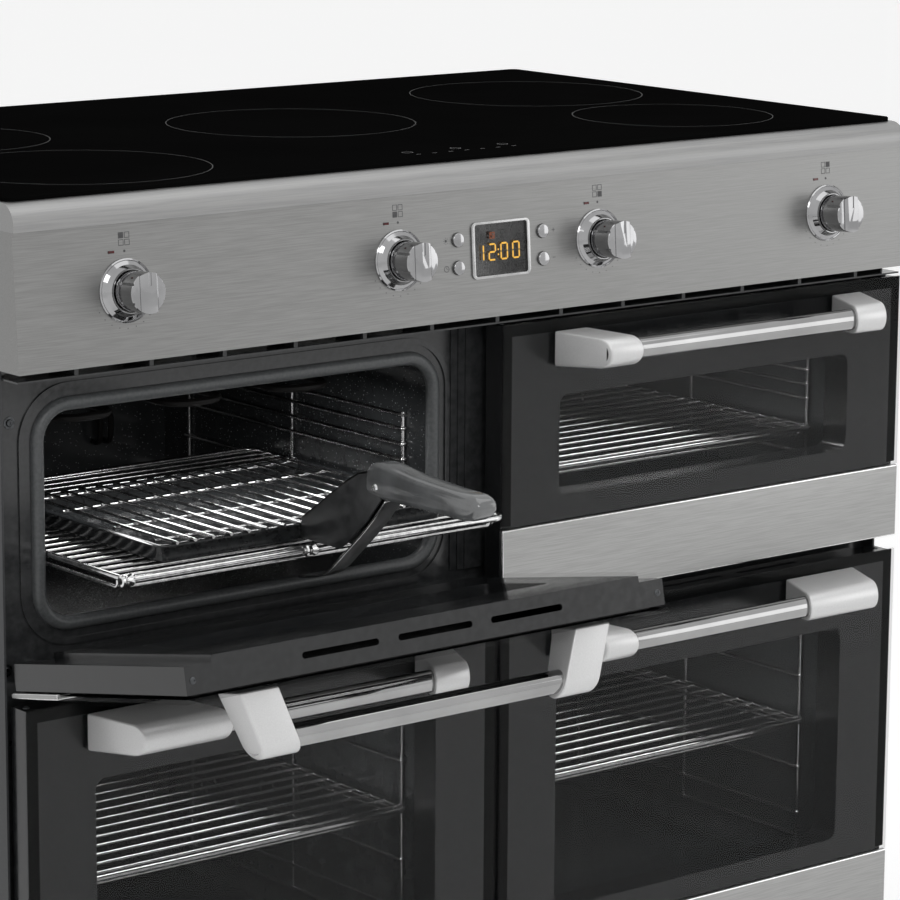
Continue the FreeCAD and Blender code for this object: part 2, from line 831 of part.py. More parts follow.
def opening_box(door):
    """Centre and edges of the opening behind a door: x0, x1, z0, z1."""
    name, x, z, height = door
    half = opening_width / 2
    return x - half, x + half, z + opening_bottom_margin, z + height - opening_top_margin


def hinge_places(door):
    """Centre of each hinge of a door along X."""
    name, x, z, height = door
    reach = door_width / 2 - hinge_inset
    return (x - reach, x + reach)


def make_front_frame():
    """Enamelled front: plate round the openings, vent shelf with ribs, beads and a stepped centre post."""
    half = half_width - panel_thickness
    plate = box(-half, half, front_plate_y, front_plate_back_y, plinth_z, front_shelf_z)
    top = front_shelf_z + vent_shelf_sheet
    shelf = box(-half, half, vent_shelf_front_y, front_plate_back_y, front_shelf_z, top)
    pieces = [plate, shelf]
    for index in range(-vent_rib_side_count, vent_rib_side_count + 1):
        x = index * vent_rib_pitch_share * cooker_width
        pieces.append(box(x - vent_rib_width / 2, x + vent_rib_width / 2,
                          vent_shelf_front_y + vent_rib_setback, front_plate_back_y, top, fascia_z))
    for door in doors:
        x0, x1, z0, z1 = opening_box(door)
        gap = gasket_lap + gasket_width + front_rib_gap
        wide = gap + front_rib_width
        outer = rounded_plate(x0 - wide, x1 + wide, z0 - wide, z1 + wide, opening_corner_radius + wide,
                              front_plate_y - front_rib_height, front_plate_y)
        inner = rounded_plate(x0 - gap, x1 + gap, z0 - gap, z1 + gap, opening_corner_radius + gap,
                              front_plate_y - 2 * front_rib_height, front_plate_back_y)
        pieces.append(outer.cut(inner))
    upper_bottom = upper_door_z + centre_post_margin
    lower_bottom = plinth_z + centre_post_margin
    for index, share in enumerate(centre_post_shares):
        reach = centre_post_half_width * share
        face = front_plate_y - (index + 1) * centre_post_step
        pieces.append(box(-reach, reach, face, front_plate_y, upper_bottom, upper_door_top))
        pieces.append(box(-reach, reach, face, front_plate_y, lower_bottom, lower_door_top))
    frame = fused(pieces)
    cuts = []
    back = front_plate_back_y + overrun
    for door in doors:
        x0, x1, z0, z1 = opening_box(door)
        cuts.append(rounded_plate(x0, x1, z0, z1, opening_corner_radius, vent_shelf_front_y, back))
        for x in hinge_places(door):
            wide = hinge_arm_width / 2 + hinge_slot_gap
            tall = hinge_arm_height / 2 + hinge_slot_gap
            z = door[2] + hinge_rise
            cuts.append(box(x - wide, x + wide, vent_shelf_front_y, back, z - tall, z + tall))
    return frame.cut(cuts)


def make_liner(door):
    """Cavity box: a lower and an upper half with a front flange, and the rear wall on their ends."""
    name, x, z, height = door
    x0, x1, z0, z1 = opening_box(door)
    sheet = liner_thickness
    front = front_plate_back_y
    outer = rounded_plate(x0 - sheet, x1 + sheet, z0 - sheet, z1 + sheet, opening_corner_radius + sheet,
                          front, cavity_rear_y)
    reach = sheet + liner_flange
    flange = rounded_plate(x0 - reach, x1 + reach, z0 - reach, z1 + reach, opening_corner_radius + reach,
                           front, front + sheet)
    inside = rounded_plate(x0, x1, z0, z1, opening_corner_radius, front - overrun, cavity_rear_y + overrun)
    wrapper = fused([outer, flange]).cut(inside)
    seam_z = (z0 + z1) / 2
    lower_space = box(x0 - reach, x1 + reach, front, cavity_rear_y, z0 - reach, seam_z)
    halves = [wrapper.common(lower_space), wrapper.cut(lower_space)]
    rear = rounded_plate(x0 - sheet, x1 + sheet, z0 - sheet, z1 + sheet, opening_corner_radius + sheet,
                         cavity_rear_y, cavity_rear_y + sheet)
    if "bottom" in name:
        hole = Part.makeCylinder(fan_shaft_hole_radius, 2 * overrun + sheet,
                                 V(x, cavity_rear_y - overrun, (z0 + z1) / 2), V(0, 1, 0))
        rear = rear.cut(hole)
    return Part.makeCompound(halves + [rear])


def make_gasket(door):
    x0, x1, z0, z1 = opening_box(door)
    lap = gasket_lap
    reach = gasket_lap + gasket_width
    outer = rounded_plate(x0 - reach, x1 + reach, z0 - reach, z1 + reach, opening_corner_radius + reach,
                          gasket_front_y, front_plate_y)
    outer = chamfered(outer, gasket_edge_chamfer,
                      lambda edge: edge.BoundBox.YMax < gasket_front_y + gasket_edge_chamfer / 2)
    inner = rounded_plate(x0 - lap, x1 + lap, z0 - lap, z1 + lap, opening_corner_radius + lap,
                          gasket_front_y - overrun, front_plate_y + overrun)
    return outer.cut(inner)


def make_hinges(door):
    name, x, z, height = door
    pieces = []
    axis_z = z + hinge_rise
    for place in hinge_places(door):
        half = hinge_arm_width / 2
        tall = hinge_arm_height / 2
        arm = box(place - half, place + half, hinge_y, front_plate_back_y + hinge_box_depth / 2,
                  axis_z - tall, axis_z + tall)
        eye = Part.makeCylinder(hinge_eye_radius, hinge_arm_width,
                                V(place - half, hinge_y, axis_z), V(1, 0, 0))
        reach = hinge_notch_width / 2 + hinge_pin_reach
        pin = Part.makeCylinder(hinge_pin_radius, 2 * reach, V(place - reach, hinge_y, axis_z), V(1, 0, 0))
        wide = hinge_box_width / 2
        deep = hinge_box_height / 2
        case = box(place - wide, place + wide, front_plate_back_y, front_plate_back_y + hinge_box_depth,
                   axis_z - deep, axis_z + deep)
        pieces.append(fused([arm, eye, pin, case]))
    return pieces


# Doors
def make_door_glass(x, z, height):
    half = door_width / 2
    bottom = z + strip_height + strip_glass_gap
    pane = box(x - half, x + half, door_outer_y, door_outer_y + outer_glass_thickness, bottom, z + height)
    return chamfered(pane, outer_glass_edge_chamfer,
                     lambda edge: edge.BoundBox.YMax < door_outer_y + outer_glass_thickness / 2)


def make_door_strip(x, z):
    half = door_width / 2
    strip = box(x - half, x + half, door_outer_y, door_outer_y + strip_thickness, z, z + strip_height)
    return chamfered(strip, strip_edge_chamfer,
                     lambda edge: edge.BoundBox.YMax < door_outer_y + strip_thickness / 2)


def make_door_frame(door):
    name, x, z, height = door
    half = door_width / 2 - door_frame_inset
    top = z + height - door_frame_top_drop
    bottom = z + door_frame_bottom_rise
    body = box(x - half, x + half, frame_front_y, door_frame_back_y, bottom, top)
    bead_half = door_width / 2 - door_bead_inset - inner_glass_overhang
    bead = box(x - bead_half, x + bead_half, door_frame_back_y, door_bead_back_y - inner_glass_thickness,
               z + door_bead_bottom + inner_glass_overhang, top)
    land_half = door_width / 2 - door_frame_land_inset
    glass_back = door_outer_y + outer_glass_thickness
    strip_back = door_outer_y + strip_thickness
    strip_top = z + strip_height - strip_glass_gap
    glass_land = box(x - land_half, x + land_half, glass_back, frame_front_y,
                     z + strip_height + 2 * strip_glass_gap, z + height - door_frame_land_inset)
    strip_land = box(x - land_half, x + land_half, strip_back, frame_front_y,
                     z + door_frame_land_inset, strip_top)
    frame = fused([body, bead, glass_land, strip_land])
    window_half = window_width / 2
    window_z0 = z + window_bottom_rise
    window_z1 = z + height - window_top_drop
    wall = door_frame_sheet
    rim = window_half + wall
    hollow = box(x - half + wall, x + half - wall, frame_front_y + wall, door_frame_back_y - wall,
                 z + hinge_notch_height + door_frame_floor, top - wall)
    tunnel = rounded_plate(x - rim, x + rim, window_z0 - wall, window_z1 + wall,
                           window_corner_radius + wall, frame_front_y - overrun, door_frame_back_y + overrun)
    window = rounded_plate(x - window_half, x + window_half, window_z0, window_z1, window_corner_radius,
                           door_outer_y - overrun, door_bead_back_y + overrun)
    cuts = [hollow.cut(tunnel), window]
    for index in range(door_slot_count):
        place = x + (index - (door_slot_count - 1) / 2) * door_slot_pitch
        cuts.append(slot(place, door_slot_y, door_slot_length, door_slot_width,
                         top - wall - overrun, top + overrun))
    axis_z = z + hinge_rise
    for place in hinge_places(door):
        notch = hinge_notch_width / 2
        cuts.append(box(place - notch, place + notch, hinge_y - hinge_eye_radius - hinge_notch_gap,
                        door_bead_back_y + overrun, z - overrun, z + hinge_notch_height))
        reach = notch + hinge_pin_reach + hinge_notch_gap
        cuts.append(Part.makeCylinder(hinge_pin_radius + hinge_pin_clearance, 2 * reach,
                                      V(place - reach, hinge_y, axis_z), V(1, 0, 0)))
    return frame.cut(cuts)


def make_inner_glass(x, z, height):
    half = door_width / 2 - door_bead_inset
    return rounded_plate(x - half, x + half, z + door_bead_bottom, z + height - door_frame_top_drop,
                         inner_glass_corner_radius, door_bead_back_y - inner_glass_thickness,
                         door_bead_back_y)


def make_handle(x, z, height, left_width, right_width):
    axis_z = z + height - handle_drop
    root = handle_root_height / 2
    nose = handle_nose_radius
    axis_y = door_outer_y - handle_axis_reach
    tip_y = axis_y - nose
    half = handle_span / 2
    pieces = []
    for side, width in ((-1, left_width), (1, right_width)):
        low_root = V(x - half, door_outer_y, axis_z - root)
        high_root = V(x - half, door_outer_y, axis_z + root)
        high_nose = V(x - half, axis_y, axis_z + nose)
        low_nose = V(x - half, axis_y, axis_z - nose)
        edges = [
            Part.LineSegment(low_root, high_root).toShape(),
            Part.LineSegment(high_root, high_nose).toShape(),
            Part.Arc(high_nose, V(x - half, tip_y, axis_z), low_nose).toShape(),
            Part.LineSegment(low_nose, low_root).toShape(),
        ]
        side_view = Part.Face(Part.Wire(edges)).extrude(V(2 * half, 0, 0))
        outer = x + side * half
        inner = outer - side * width
        lean = side * handle_lean
        plan = prism_z([(outer, door_outer_y), (outer - lean, tip_y), (inner - lean, tip_y),
                        (inner, door_outer_y)], axis_z - 2 * root, axis_z + 2 * root)
        pieces.append(side_view.common(plan))
    start = x - half + left_width
    end = x + half - right_width
    pieces.append(bar(V(start, axis_y, axis_z), V(end, axis_y, axis_z), handle_bar_radius))
    return fused(pieces)


# Side racks and shelves
def make_side_rack(door, rail_rises, side):
    name, x, z, height = door
    x0, x1, z0, z1 = opening_box(door)
    wall = x0 if side < 0 else x1
    upright_x = wall - side * (rack_wire_radius + rack_wall_gap)
    rail_x = wall - side * rack_rail_inset
    front = front_plate_back_y + rack_front_inset
    rear = cavity_rear_y - rack_rear_inset
    low = z0 + rack_foot_rise
    high = z0 + rail_rises[-1] + rack_top_rise
    past = rack_wire_overhang
    pieces = []
    for y in (front, (front + rear) / 2, rear):
        pieces.append(wire(V(upright_x, y, low - past), V(upright_x, y, high + past), rack_wire_radius))
    for level in (low, high):
        pieces.append(wire(V(upright_x, front - past, level), V(upright_x, rear + past, level),
                           rack_cross_radius))
    for rise in rail_rises:
        level = z0 + rise
        pieces.append(wire(V(rail_x, front - past, level), V(rail_x, rear + past, level), rack_wire_radius))
        for y in (front, rear):
            pieces.append(wire(V(upright_x, y, level), V(rail_x, y, level), rack_cross_radius))
    return fused(pieces)


def make_shelf(x, front_y, level, depth, pitch):
    """Flat grid of wire, with a low cross wire and a runner under each side welded on."""
    side = shelf_width / 2 - shelf_wire_radius
    front = front_y + shelf_wire_radius
    rear = front_y + depth - shelf_wire_radius
    middle = (front + rear) / 2
    halves = []
    for way in (-1, 1):
        path = [V(x, front, level), V(x + way * side, front, level), V(x + way * side, rear, level),
                V(x, rear, level)]
        halves.append(rod(path, shelf_wire_radius, shelf_corner_radius))
    bars = []
    bar_end = side - shelf_bar_radius
    count = int((depth - 2 * shelf_end_margin) // pitch)
    bar_z = level + shelf_bar_rise
    first = middle - pitch * count / 2
    for index in range(count + 1):
        y = first + index * pitch
        bars.append(wire(V(x - bar_end, y, bar_z), V(x + bar_end, y, bar_z), shelf_bar_radius))
    pieces = [fused(halves + bars)]
    low_z = level - shelf_low_wire_drop
    low_top = bar_z - shelf_bar_radius
    reach = side - shelf_low_wire_inset
    pieces.append(rod([V(x - reach, first, low_top), V(x - reach, first, low_z), V(x + reach, first, low_z),
                       V(x + reach, first, low_top)], shelf_low_wire_radius, shelf_low_wire_bend))
    for way in (-1, 1):
        runner_x = x + way * (side - shelf_runner_inset)
        start = front + shelf_runner_setback
        end = rear - shelf_corner_radius - shelf_runner_end_gap
        root = level - shelf_wire_radius
        path = [V(runner_x, start, root), V(runner_x, start, level - shelf_runner_drop),
                V(runner_x, end, level - shelf_runner_drop), V(runner_x, end, root)]
        pieces.append(rod(path, shelf_bar_radius, shelf_runner_bend))
    return Part.makeCompound(pieces)


# Grill pan, its grid and its handle
def make_pan(x, front_y, level):
    """Enamelled tray: walls with a turned-out rim, standing on the floor sheet."""
    rear_y = front_y + pan_depth
    half = pan_width / 2
    top = level + pan_height
    floor_top = level + pan_wall
    lip = pan_rim_width
    rim = flat_plate(x - half, x + half, front_y, rear_y, pan_corner_radius, top - pan_wall, top)
    outer = flat_plate(x - half + lip, x + half - lip, front_y + lip, rear_y - lip,
                       pan_corner_radius - lip, floor_top, top)
    wall = lip + pan_wall
    inside = flat_plate(x - half + wall, x + half - wall, front_y + wall, rear_y - wall,
                        pan_corner_radius - wall, level, top + overrun)
    floor = flat_plate(x - half + lip, x + half - lip, front_y + lip, rear_y - lip,
                       pan_corner_radius - lip, level, floor_top)
    floor = chamfered(floor, pan_bottom_chamfer, lambda edge: edge.BoundBox.ZMax < level + pan_wall / 2)
    return Part.makeCompound([fused([rim, outer]).cut(inside), floor])


def make_grid(x, front_y, level):
    top = level + pan_height
    start = front_y - grid_overhang
    end = front_y + pan_depth - grid_overhang
    pieces = []
    z = top + grid_wire_radius
    for index in range(grid_bars):
        bar_x = x + (index - (grid_bars - 1) / 2) * grid_pitch
        pieces.append(wire(V(bar_x, start, z), V(bar_x, end, z), grid_wire_radius))
    reach = (grid_bars - 1) / 2 * grid_pitch + grid_cross_overhang
    for share in grid_cross_shares:
        y = start + share * (end - start)
        cross_z = z - 2 * grid_wire_radius + grid_weld
        pieces.append(wire(V(x - reach, y, cross_z), V(x + reach, y, cross_z), grid_wire_radius))
    return fused(pieces)


def make_pan_handle(x, rim_y, rim_z):
    """Detachable handle: y and z are those of the pan's front rim edge."""
    half = pan_handle_width / 2
    sheet = pan_handle_sheet
    gap = pan_handle_clearance
    webs = []
    web_y = rim_y - grid_overhang - gap
    outline = [(web_y, rim_z - pan_handle_web_drop), (web_y, rim_z + pan_handle_web_lift)]
    outline += [(rim_y - pan_handle_web_reach, rim_z + pan_handle_web_rise)]
    outline += [(rim_y - pan_handle_web_back, rim_z + pan_handle_web_rise)]
    outline += [(rim_y - pan_handle_web_back, rim_z + pan_handle_web_heel)]
    outline += [(rim_y - pan_handle_web_toe, rim_z - pan_handle_web_drop)]
    for side in (-1, 1):
        xs = sorted((x + side * half, x + side * (half - sheet)))
        webs.append(prism_x(outline, xs[0], xs[1]))
    bridge_reach = rim_y - gap - pan_handle_bridge
    bridge = box(x - half, x + half, bridge_reach, rim_y - grid_overhang - gap,
                 rim_z + gap, rim_z + gap + sheet)
    hook = box(x - pan_hook_half_width, x + pan_hook_half_width, bridge_reach, rim_y + pan_hook_lap,
               rim_z + gap, rim_z + gap + sheet)
    grip_points = []
    for out, up in pan_grip_shares:
        grip_points.append((rim_y - out * pan_handle_reach, rim_z + up * pan_handle_top))
    grip = prism_x(grip_points, x - half, x + half)
    long_edges = [edge for edge in grip.Edges if edge.BoundBox.XLength < sheet / 2]
    grip = grip.makeFillet(pan_grip_round, long_edges)
    tongue_half = pan_tongue_width / 2
    path = []
    for out, up in pan_tongue_shares:
        path.append(V(x, rim_y - out * pan_handle_reach, rim_z + up * pan_handle_top))
    curve = Part.BSplineCurve()
    curve.interpolate(path)
    lowered = Part.BSplineCurve()
    lowered.interpolate([point.sub(V(0, 0, sheet)) for point in path])
    edges = [curve.toShape(), Part.LineSegment(path[-1], path[-1].sub(V(0, 0, sheet))).toShape(),
             lowered.toShape(), Part.LineSegment(path[0].sub(V(0, 0, sheet)), path[0]).toShape()]
    strip = Part.Face(Part.Wire(Part.sortEdges(edges)[0]))
    strip.translate(V(-tongue_half, 0, 0))
    tongue = strip.extrude(V(pan_tongue_width, 0, 0))
    rivet_y = rim_y - pan_rivet_shares[0] * pan_handle_reach
    rivet_z = rim_z + pan_rivet_shares[1] * pan_handle_top
    proud = half + pan_handle_rivet_proud
    rivet = bar(V(x - proud, rivet_y, rivet_z), V(x + proud, rivet_y, rivet_z), pan_handle_rivet_radius)
    return fused(webs + [bridge, hook, grip, tongue, rivet])


# Heating elements and fans
def make_grill_element(door):
    x0, x1, z0, z1 = opening_box(door)
    x = (x0 + x1) / 2
    level = z1 - element_drop
    front = front_plate_back_y + element_inset
    rear = cavity_rear_y - element_rear_inset
    pitch = (x1 - x0 - 2 * element_inset) / (element_runs - 1)
    points = []
    for index in range(element_runs):
        run_x = x0 + element_inset + index * pitch
        ends = (rear, front) if index % 2 == 0 else (front, rear)
        points.append(V(run_x, ends[0], level))
        points.append(V(run_x, ends[1], level))
    points[0] = V(points[0].x, cavity_rear_y, level)
    points[-1] = V(points[-1].x, cavity_rear_y, level)
    pieces = [rod(points, element_radius, element_bend_share * pitch)]
    for share in element_bracket_shares:
        y = front + share * (rear - front)
        half = element_bracket_width / 2
        reach = (x1 - x0) / 2 - element_inset + element_bracket_width
        strap = box(x - reach, x + reach, y - half, y + half, level + element_radius,
                    level + element_radius + element_bracket_thickness)
        posts = []
        for side in (-1, 1):
            post_x = x + side * (reach - half)
            posts.append(box(post_x - half, post_x + half, y - half, y + half, level + element_radius, z1))
        pieces.append(fused([strap] + posts))
    return pieces


def make_grill_leads(door):
    """Pair of bent tubes low on the rear wall of the grill."""
    x0, x1, z0, z1 = opening_box(door)
    pieces = []
    for side in (-1, 1):
        x = (x0 + x1) / 2 + lead_offset + side * lead_pitch / 2
        low = z0 + lead_low_rise
        high = z0 + lead_high_rise
        y = cavity_rear_y - lead_stand_off
        path = [V(x, cavity_rear_y, low), V(x, y, low), V(x, y, high), V(x, cavity_rear_y, high)]
        pieces.append(rod(path, lead_radius, lead_bend))
    return pieces


def make_ring_element(door):
    """Ring round the fan with a straight foot to the rear wall."""
    x0, x1, z0, z1 = opening_box(door)
    centre = V((x0 + x1) / 2, cavity_rear_y - ring_element_stand_off, (z0 + z1) / 2)
    start = centre.add(V(ring_element_radius, 0, 0))
    circle = Part.Wire(Part.makeCircle(ring_element_radius, centre, V(0, 1, 0)))
    ring = circle.makePipeShell([Part.Wire(wire_outline(start, V(0, 0, 1), element_radius))], True, True)
    foot = wire(V(centre.x, centre.y, centre.z + ring_element_radius),
                V(centre.x, cavity_rear_y, centre.z + ring_element_radius), element_radius)
    return fused([ring, foot])


def make_fan(door):
    x0, x1, z0, z1 = opening_box(door)
    x = (x0 + x1) / 2
    z = (z0 + z1) / 2
    back = cavity_rear_y - fan_rear_gap
    disc = Part.makeCylinder(fan_radius, fan_disc_thickness, V(x, back, z), V(0, -1, 0))
    hub = Part.makeCylinder(fan_hub_radius, fan_blade_width, V(x, back, z), V(0, -1, 0))
    blades = []
    for index in range(fan_blade_count):
        blade = box(x + fan_hub_radius + fan_blade_gap, x + fan_radius - fan_blade_gap,
                    back - fan_blade_width, back, z - fan_blade_thickness / 2, z + fan_blade_thickness / 2)
        blade.rotate(V(x, 0, z), V(0, 1, 0), index * 360.0 / fan_blade_count)
        blades.append(blade)
    socket = Part.makeCylinder(fan_shaft_radius + fan_shaft_clearance, fan_socket_depth,
                               V(x, back, z), V(0, -1, 0))
    return fused([disc, hub] + blades).cut(socket)


def make_fan_housing(door):
    x0, x1, z0, z1 = opening_box(door)
    x = (x0 + x1) / 2
    z = (z0 + z1) / 2
    half = fan_cover_width_share * (x1 - x0) / 2
    tall = fan_cover_height_share * (z1 - z0) / 2
    sheet = fan_cover_thickness
    outer = box(x - half, x + half, cavity_rear_y - fan_cover_depth, cavity_rear_y, z - tall, z + tall)
    inner = box(x - half + sheet, x + half - sheet, cavity_rear_y - fan_cover_depth + sheet,
                cavity_rear_y + overrun, z - tall + sheet, z + tall - sheet)
    cover = outer.cut(inner)
    slots = []
    face = cavity_rear_y - fan_cover_depth
    for index in range(fan_cover_slot_count):
        slot_box = box(x + fan_cover_slot_inner_radius, x + fan_cover_slot_outer_radius, face - overrun,
                       face + sheet + overrun / 2, z - fan_cover_slot_width / 2, z + fan_cover_slot_width / 2)
        slot_box.rotate(V(x, 0, z), V(0, 1, 0), index * 360.0 / fan_cover_slot_count)
        slots.append(slot_box)
    cover = cover.cut(slots)
    start = cavity_rear_y + liner_thickness
    plate = Part.makeCylinder(motor_plate_radius, motor_plate_thickness, V(x, start, z), V(0, 1, 0))
    motor = Part.makeCylinder(motor_radius, motor_depth, V(x, start, z), V(0, 1, 0))
    shaft_reach = liner_thickness + fan_rear_gap + fan_socket_depth - fan_blade_gap
    shaft = Part.makeCylinder(fan_shaft_radius, shaft_reach, V(x, start, z), V(0, -1, 0))
    return [cover, fused([plate, motor, shaft])]


os.makedirs("parts", exist_ok=True)

save("hob_glass", [make_hob_glass()])
save("hob_trim", [make_hob_trim()])
save("hob_coils", make_hob_coils())
save("control_fascia", [make_fascia()])
save("knob_bezels", [on_fascia(make_bezel(x)) for x in knob_xs])
for number, x in enumerate(knob_xs):
    save("oven_knob_" + str(number + 1), [on_fascia(make_knob(x))])
save("rotary_switches", [on_fascia(make_switch(x)) for x in knob_xs])
save("indicator_lenses", [on_fascia(make_indicator(x)) for x in knob_xs])
save("clock_case", [on_fascia(make_clock_case())])
save("clock_window", [on_fascia(make_clock_window())])
button_number = 0
for x in (-button_x, button_x):
    for rise in reversed(button_rises):
        button_number += 1
        save("clock_button_" + str(button_number), [on_fascia(make_button(x, rise))])

save("side_panels", make_side_panels())
save("back_panel", [make_back_panel()])
save("base_tray", [make_base_tray()])
save("plinth", [make_plinth()])
feet = []
for x in (-half_width + foot_inset_x, half_width - foot_inset_x):
    for y in (plinth_y + foot_inset_y, cabinet_depth - foot_inset_y):
        feet.append(make_foot(x, y))
save("feet", feet)
save("front_frame", [make_front_frame()])
save("upper_liners", [make_liner(doors[0]), make_liner(doors[1])])
save("lower_left_liner", [make_liner(doors[2])])
save("lower_right_liner", [make_liner(doors[3])])
save("door_gaskets", [make_gasket(door) for door in doors])
hinges = []
for door in doors:
    hinges += make_hinges(door)
save("door_hinges", hinges)

racks = []
for door in doors:
    rises = upper_rail_rises if "top" in door[0] else lower_rail_rises
    for side in (-1, 1):
        racks.append(make_side_rack(door, rises, side))
save("side_racks", racks)
elements = []
for door in doors[:2]:
    elements += make_grill_element(door)
elements += make_grill_leads(doors[0])
for door in doors[2:]:
    elements.append(make_ring_element(door))
save("heating_elements", elements)
housings = []
for door in doors[2:]:
    housings += make_fan_housing(door)
    save("fan_" + door[0], [make_fan(door)])
save("fan_housings", housings)

for door in doors:
    name, x, z, height = door
    left = handle_wide_block_width if name == "bottom_left" else handle_block_width
    right = handle_wide_block_width if name == "bottom_right" else handle_block_width
    shapes = {
        "glass": make_door_glass(x, z, height),
        "strip": make_door_strip(x, z),
        "frame": make_door_frame(door),
        "inner_glass": make_inner_glass(x, z, height),
        "handle": make_handle(x, z, height, left, right),
    }
    for piece, shape in shapes.items():
        if name == "top_left":
            shape.rotate(V(0, hinge_y, z + hinge_rise), V(1, 0, 0), door_open_angle)
        save("door_" + name + "_" + piece, [shape])

level = doors[0][2] + opening_bottom_margin + upper_rail_rises[0] + shelf_rail_drop
grill_x = doors[0][1]
front = shelf_closed_y - grill_shelf_travel
save("shelf_top_left", [make_shelf(grill_x, front, level, shelf_depth, grill_shelf_pitch)])
pan_z = level + shelf_bar_rise + shelf_bar_radius
pan_y = front + pan_set_back
save("grill_pan", [make_pan(grill_x, pan_y, pan_z)])
save("pan_grid", [make_grid(grill_x, pan_y, pan_z)])
save("pan_handle", [make_pan_handle(grill_x, pan_y, pan_z + pan_height)])
for door in doors[1:]:
    name, x, z, height = door
    rise = upper_rail_rises[0] if "top" in name else lower_rail_rises[lower_shelf_slot]
    depth = shelf_depth if "top" in name else lower_shelf_depth
    save("shelf_" + name, [make_shelf(x, shelf_closed_y, z + opening_bottom_margin + rise + shelf_rail_drop,
                                      depth, oven_shelf_pitch)])
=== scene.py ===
import math

import bmesh
import bpy
from mathutils import Matrix, Vector


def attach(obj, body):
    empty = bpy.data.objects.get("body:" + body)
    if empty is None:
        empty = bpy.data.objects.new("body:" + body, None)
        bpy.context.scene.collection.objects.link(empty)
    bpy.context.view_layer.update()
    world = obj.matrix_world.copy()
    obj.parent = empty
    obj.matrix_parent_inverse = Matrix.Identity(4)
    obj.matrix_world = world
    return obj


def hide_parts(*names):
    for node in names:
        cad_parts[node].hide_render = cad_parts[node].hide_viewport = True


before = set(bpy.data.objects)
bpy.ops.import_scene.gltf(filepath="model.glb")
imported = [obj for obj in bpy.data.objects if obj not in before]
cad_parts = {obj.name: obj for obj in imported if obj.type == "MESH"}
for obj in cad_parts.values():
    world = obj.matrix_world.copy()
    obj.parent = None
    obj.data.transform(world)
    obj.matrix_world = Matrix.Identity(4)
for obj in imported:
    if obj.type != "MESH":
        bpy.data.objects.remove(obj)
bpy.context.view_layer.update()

# Electric range cooker: brushed steel front, black hob glass and four drop-down doors.
# Lengths are millimetres on the cooker's own lines: X along the front, Y back from the cabinet's
# front edge and Z up from the floor. place() turns them into the frame's metres.

MM = 0.001
CENTRE_SHIFT_Y = -125.75
INK = 0.06

# Fascia, its dials and the clock
FASCIA_Z = 758.5
FASCIA_BOTTOM_Y = -30.4
FASCIA_TILT = math.atan2(7.9, 114.5)
KNOB_XS = (-394.0, -112.5, 113.5, 397.0)
KNOB_RISE = 59.0
ICON_RISE = 101.5
ICON_SIZE = 11.0
ICON_GAP = 0.9
ICON_LINE = 0.55
CLOCK_RISE = 59.5
DIGIT_DROP = 2.2
DIGIT_HEIGHT = 15.3
DIGIT_WIDTH = 8.6
DIGIT_STROKE = 1.5
DIGIT_GAP = 0.35
BUTTON_X = 48.0
BUTTON_RISES = (71.0, 46.5)
SYMBOL_OFFSET = 13.0
DIAL_DOTS = 9
DIAL_RADIUS = 31.0
DIAL_TOP_DOT = 32.5
FILLED_QUARTERS = ((-1, 1), (-1, -1), (1, -1), (1, 1))
SEGMENTS = {"1": "bc", "2": "abged", "0": "abcdef"}
DIGITS = (("1", -23.8), ("2", -10.3), ("0", 3.2), ("0", 16.6))

# Doors: name, centre along X, bottom and height
DOOR_WIDTH = 496.0
DOORS = (
    ("top_left", -250.0, 493.5, 256.0),
    ("top_right", 250.0, 493.5, 256.0),
    ("bottom_left", -250.0, 104.2, 376.0),
    ("bottom_right", 250.0, 104.2, 376.0),
)
DOOR_OUTER_Y = -30.5
DOOR_OPEN_ANGLE = 78.8
HINGE_Y = -14.6
HINGE_RISE = 10.0
GLASS_BACK_Y = -26.9
GLASS_BOTTOM = 72.0
GLASS_EDGE = 1.2
WINDOW_WIDTH = 360.0
WINDOW_BOTTOM = 92.5
WINDOW_TOP_DROP = 70.0
WINDOW_CORNER = 10.0
DOOR_TOP_SCREW_X = 238.0
DOOR_TOP_SCREW_Y = -13.0
DOOR_TOP_DROP = 2.0

# Cavities: opening in the front plate, and the racks on their side walls
OPENING_HALF_WIDTH = 203.0
OPENING_BOTTOM = 46.4
OPENING_TOP_DROP = 31.7
OPENING_CORNER = 26.0
SEAL_OUT = 4.0
SEAL_RADIUS = 6.2
SEAL_SINK = 0.4
PLATE_FRONT_Y = 14.0
RACK_YS = (49.0, 217.0, 385.0)
RACK_RADIUS = 2.0
RACK_UPRIGHT_INSET = 2.02
RACK_RAIL_INSET = 4.5
RACK_FOOT_RISE = 28.0
RACK_TOP_RISE = 12.0
RACK_OVERHANG = 3.0
UPPER_RAILS = (51.7, 83.0, 97.0, 111.0)
LOWER_RAILS = (51.7, 98.7, 145.7, 192.7, 239.7)

# Wire shelves: name, centre along X, front, depth, level and bar pitch
SHELVES = (
    ("top_left", -250.0, -104.0, 380.0, 596.5, 16.0),
    ("top_right", 250.0, 30.0, 380.0, 596.5, 22.0),
    ("bottom_left", -250.0, 30.0, 358.0, 301.2, 22.0),
    ("bottom_right", 250.0, 30.0, 358.0, 301.2, 22.0),
)
SHELF_SIDE = 195.9
SHELF_WIRE = 2.6
SHELF_BAR = 1.6
SHELF_BAR_RISE = 0.8
SHELF_CORNER = 12.0
SHELF_END_MARGIN = 14.0
LOW_WIRE = 1.4
LOW_WIRE_DROP = 8.0
LOW_WIRE_INSET = 9.0
RUNNER_DROP = 9.0
RUNNER_INSET = 1.4
RUNNER_SETBACK = 16.0
RUNNER_END_GAP = 20.0

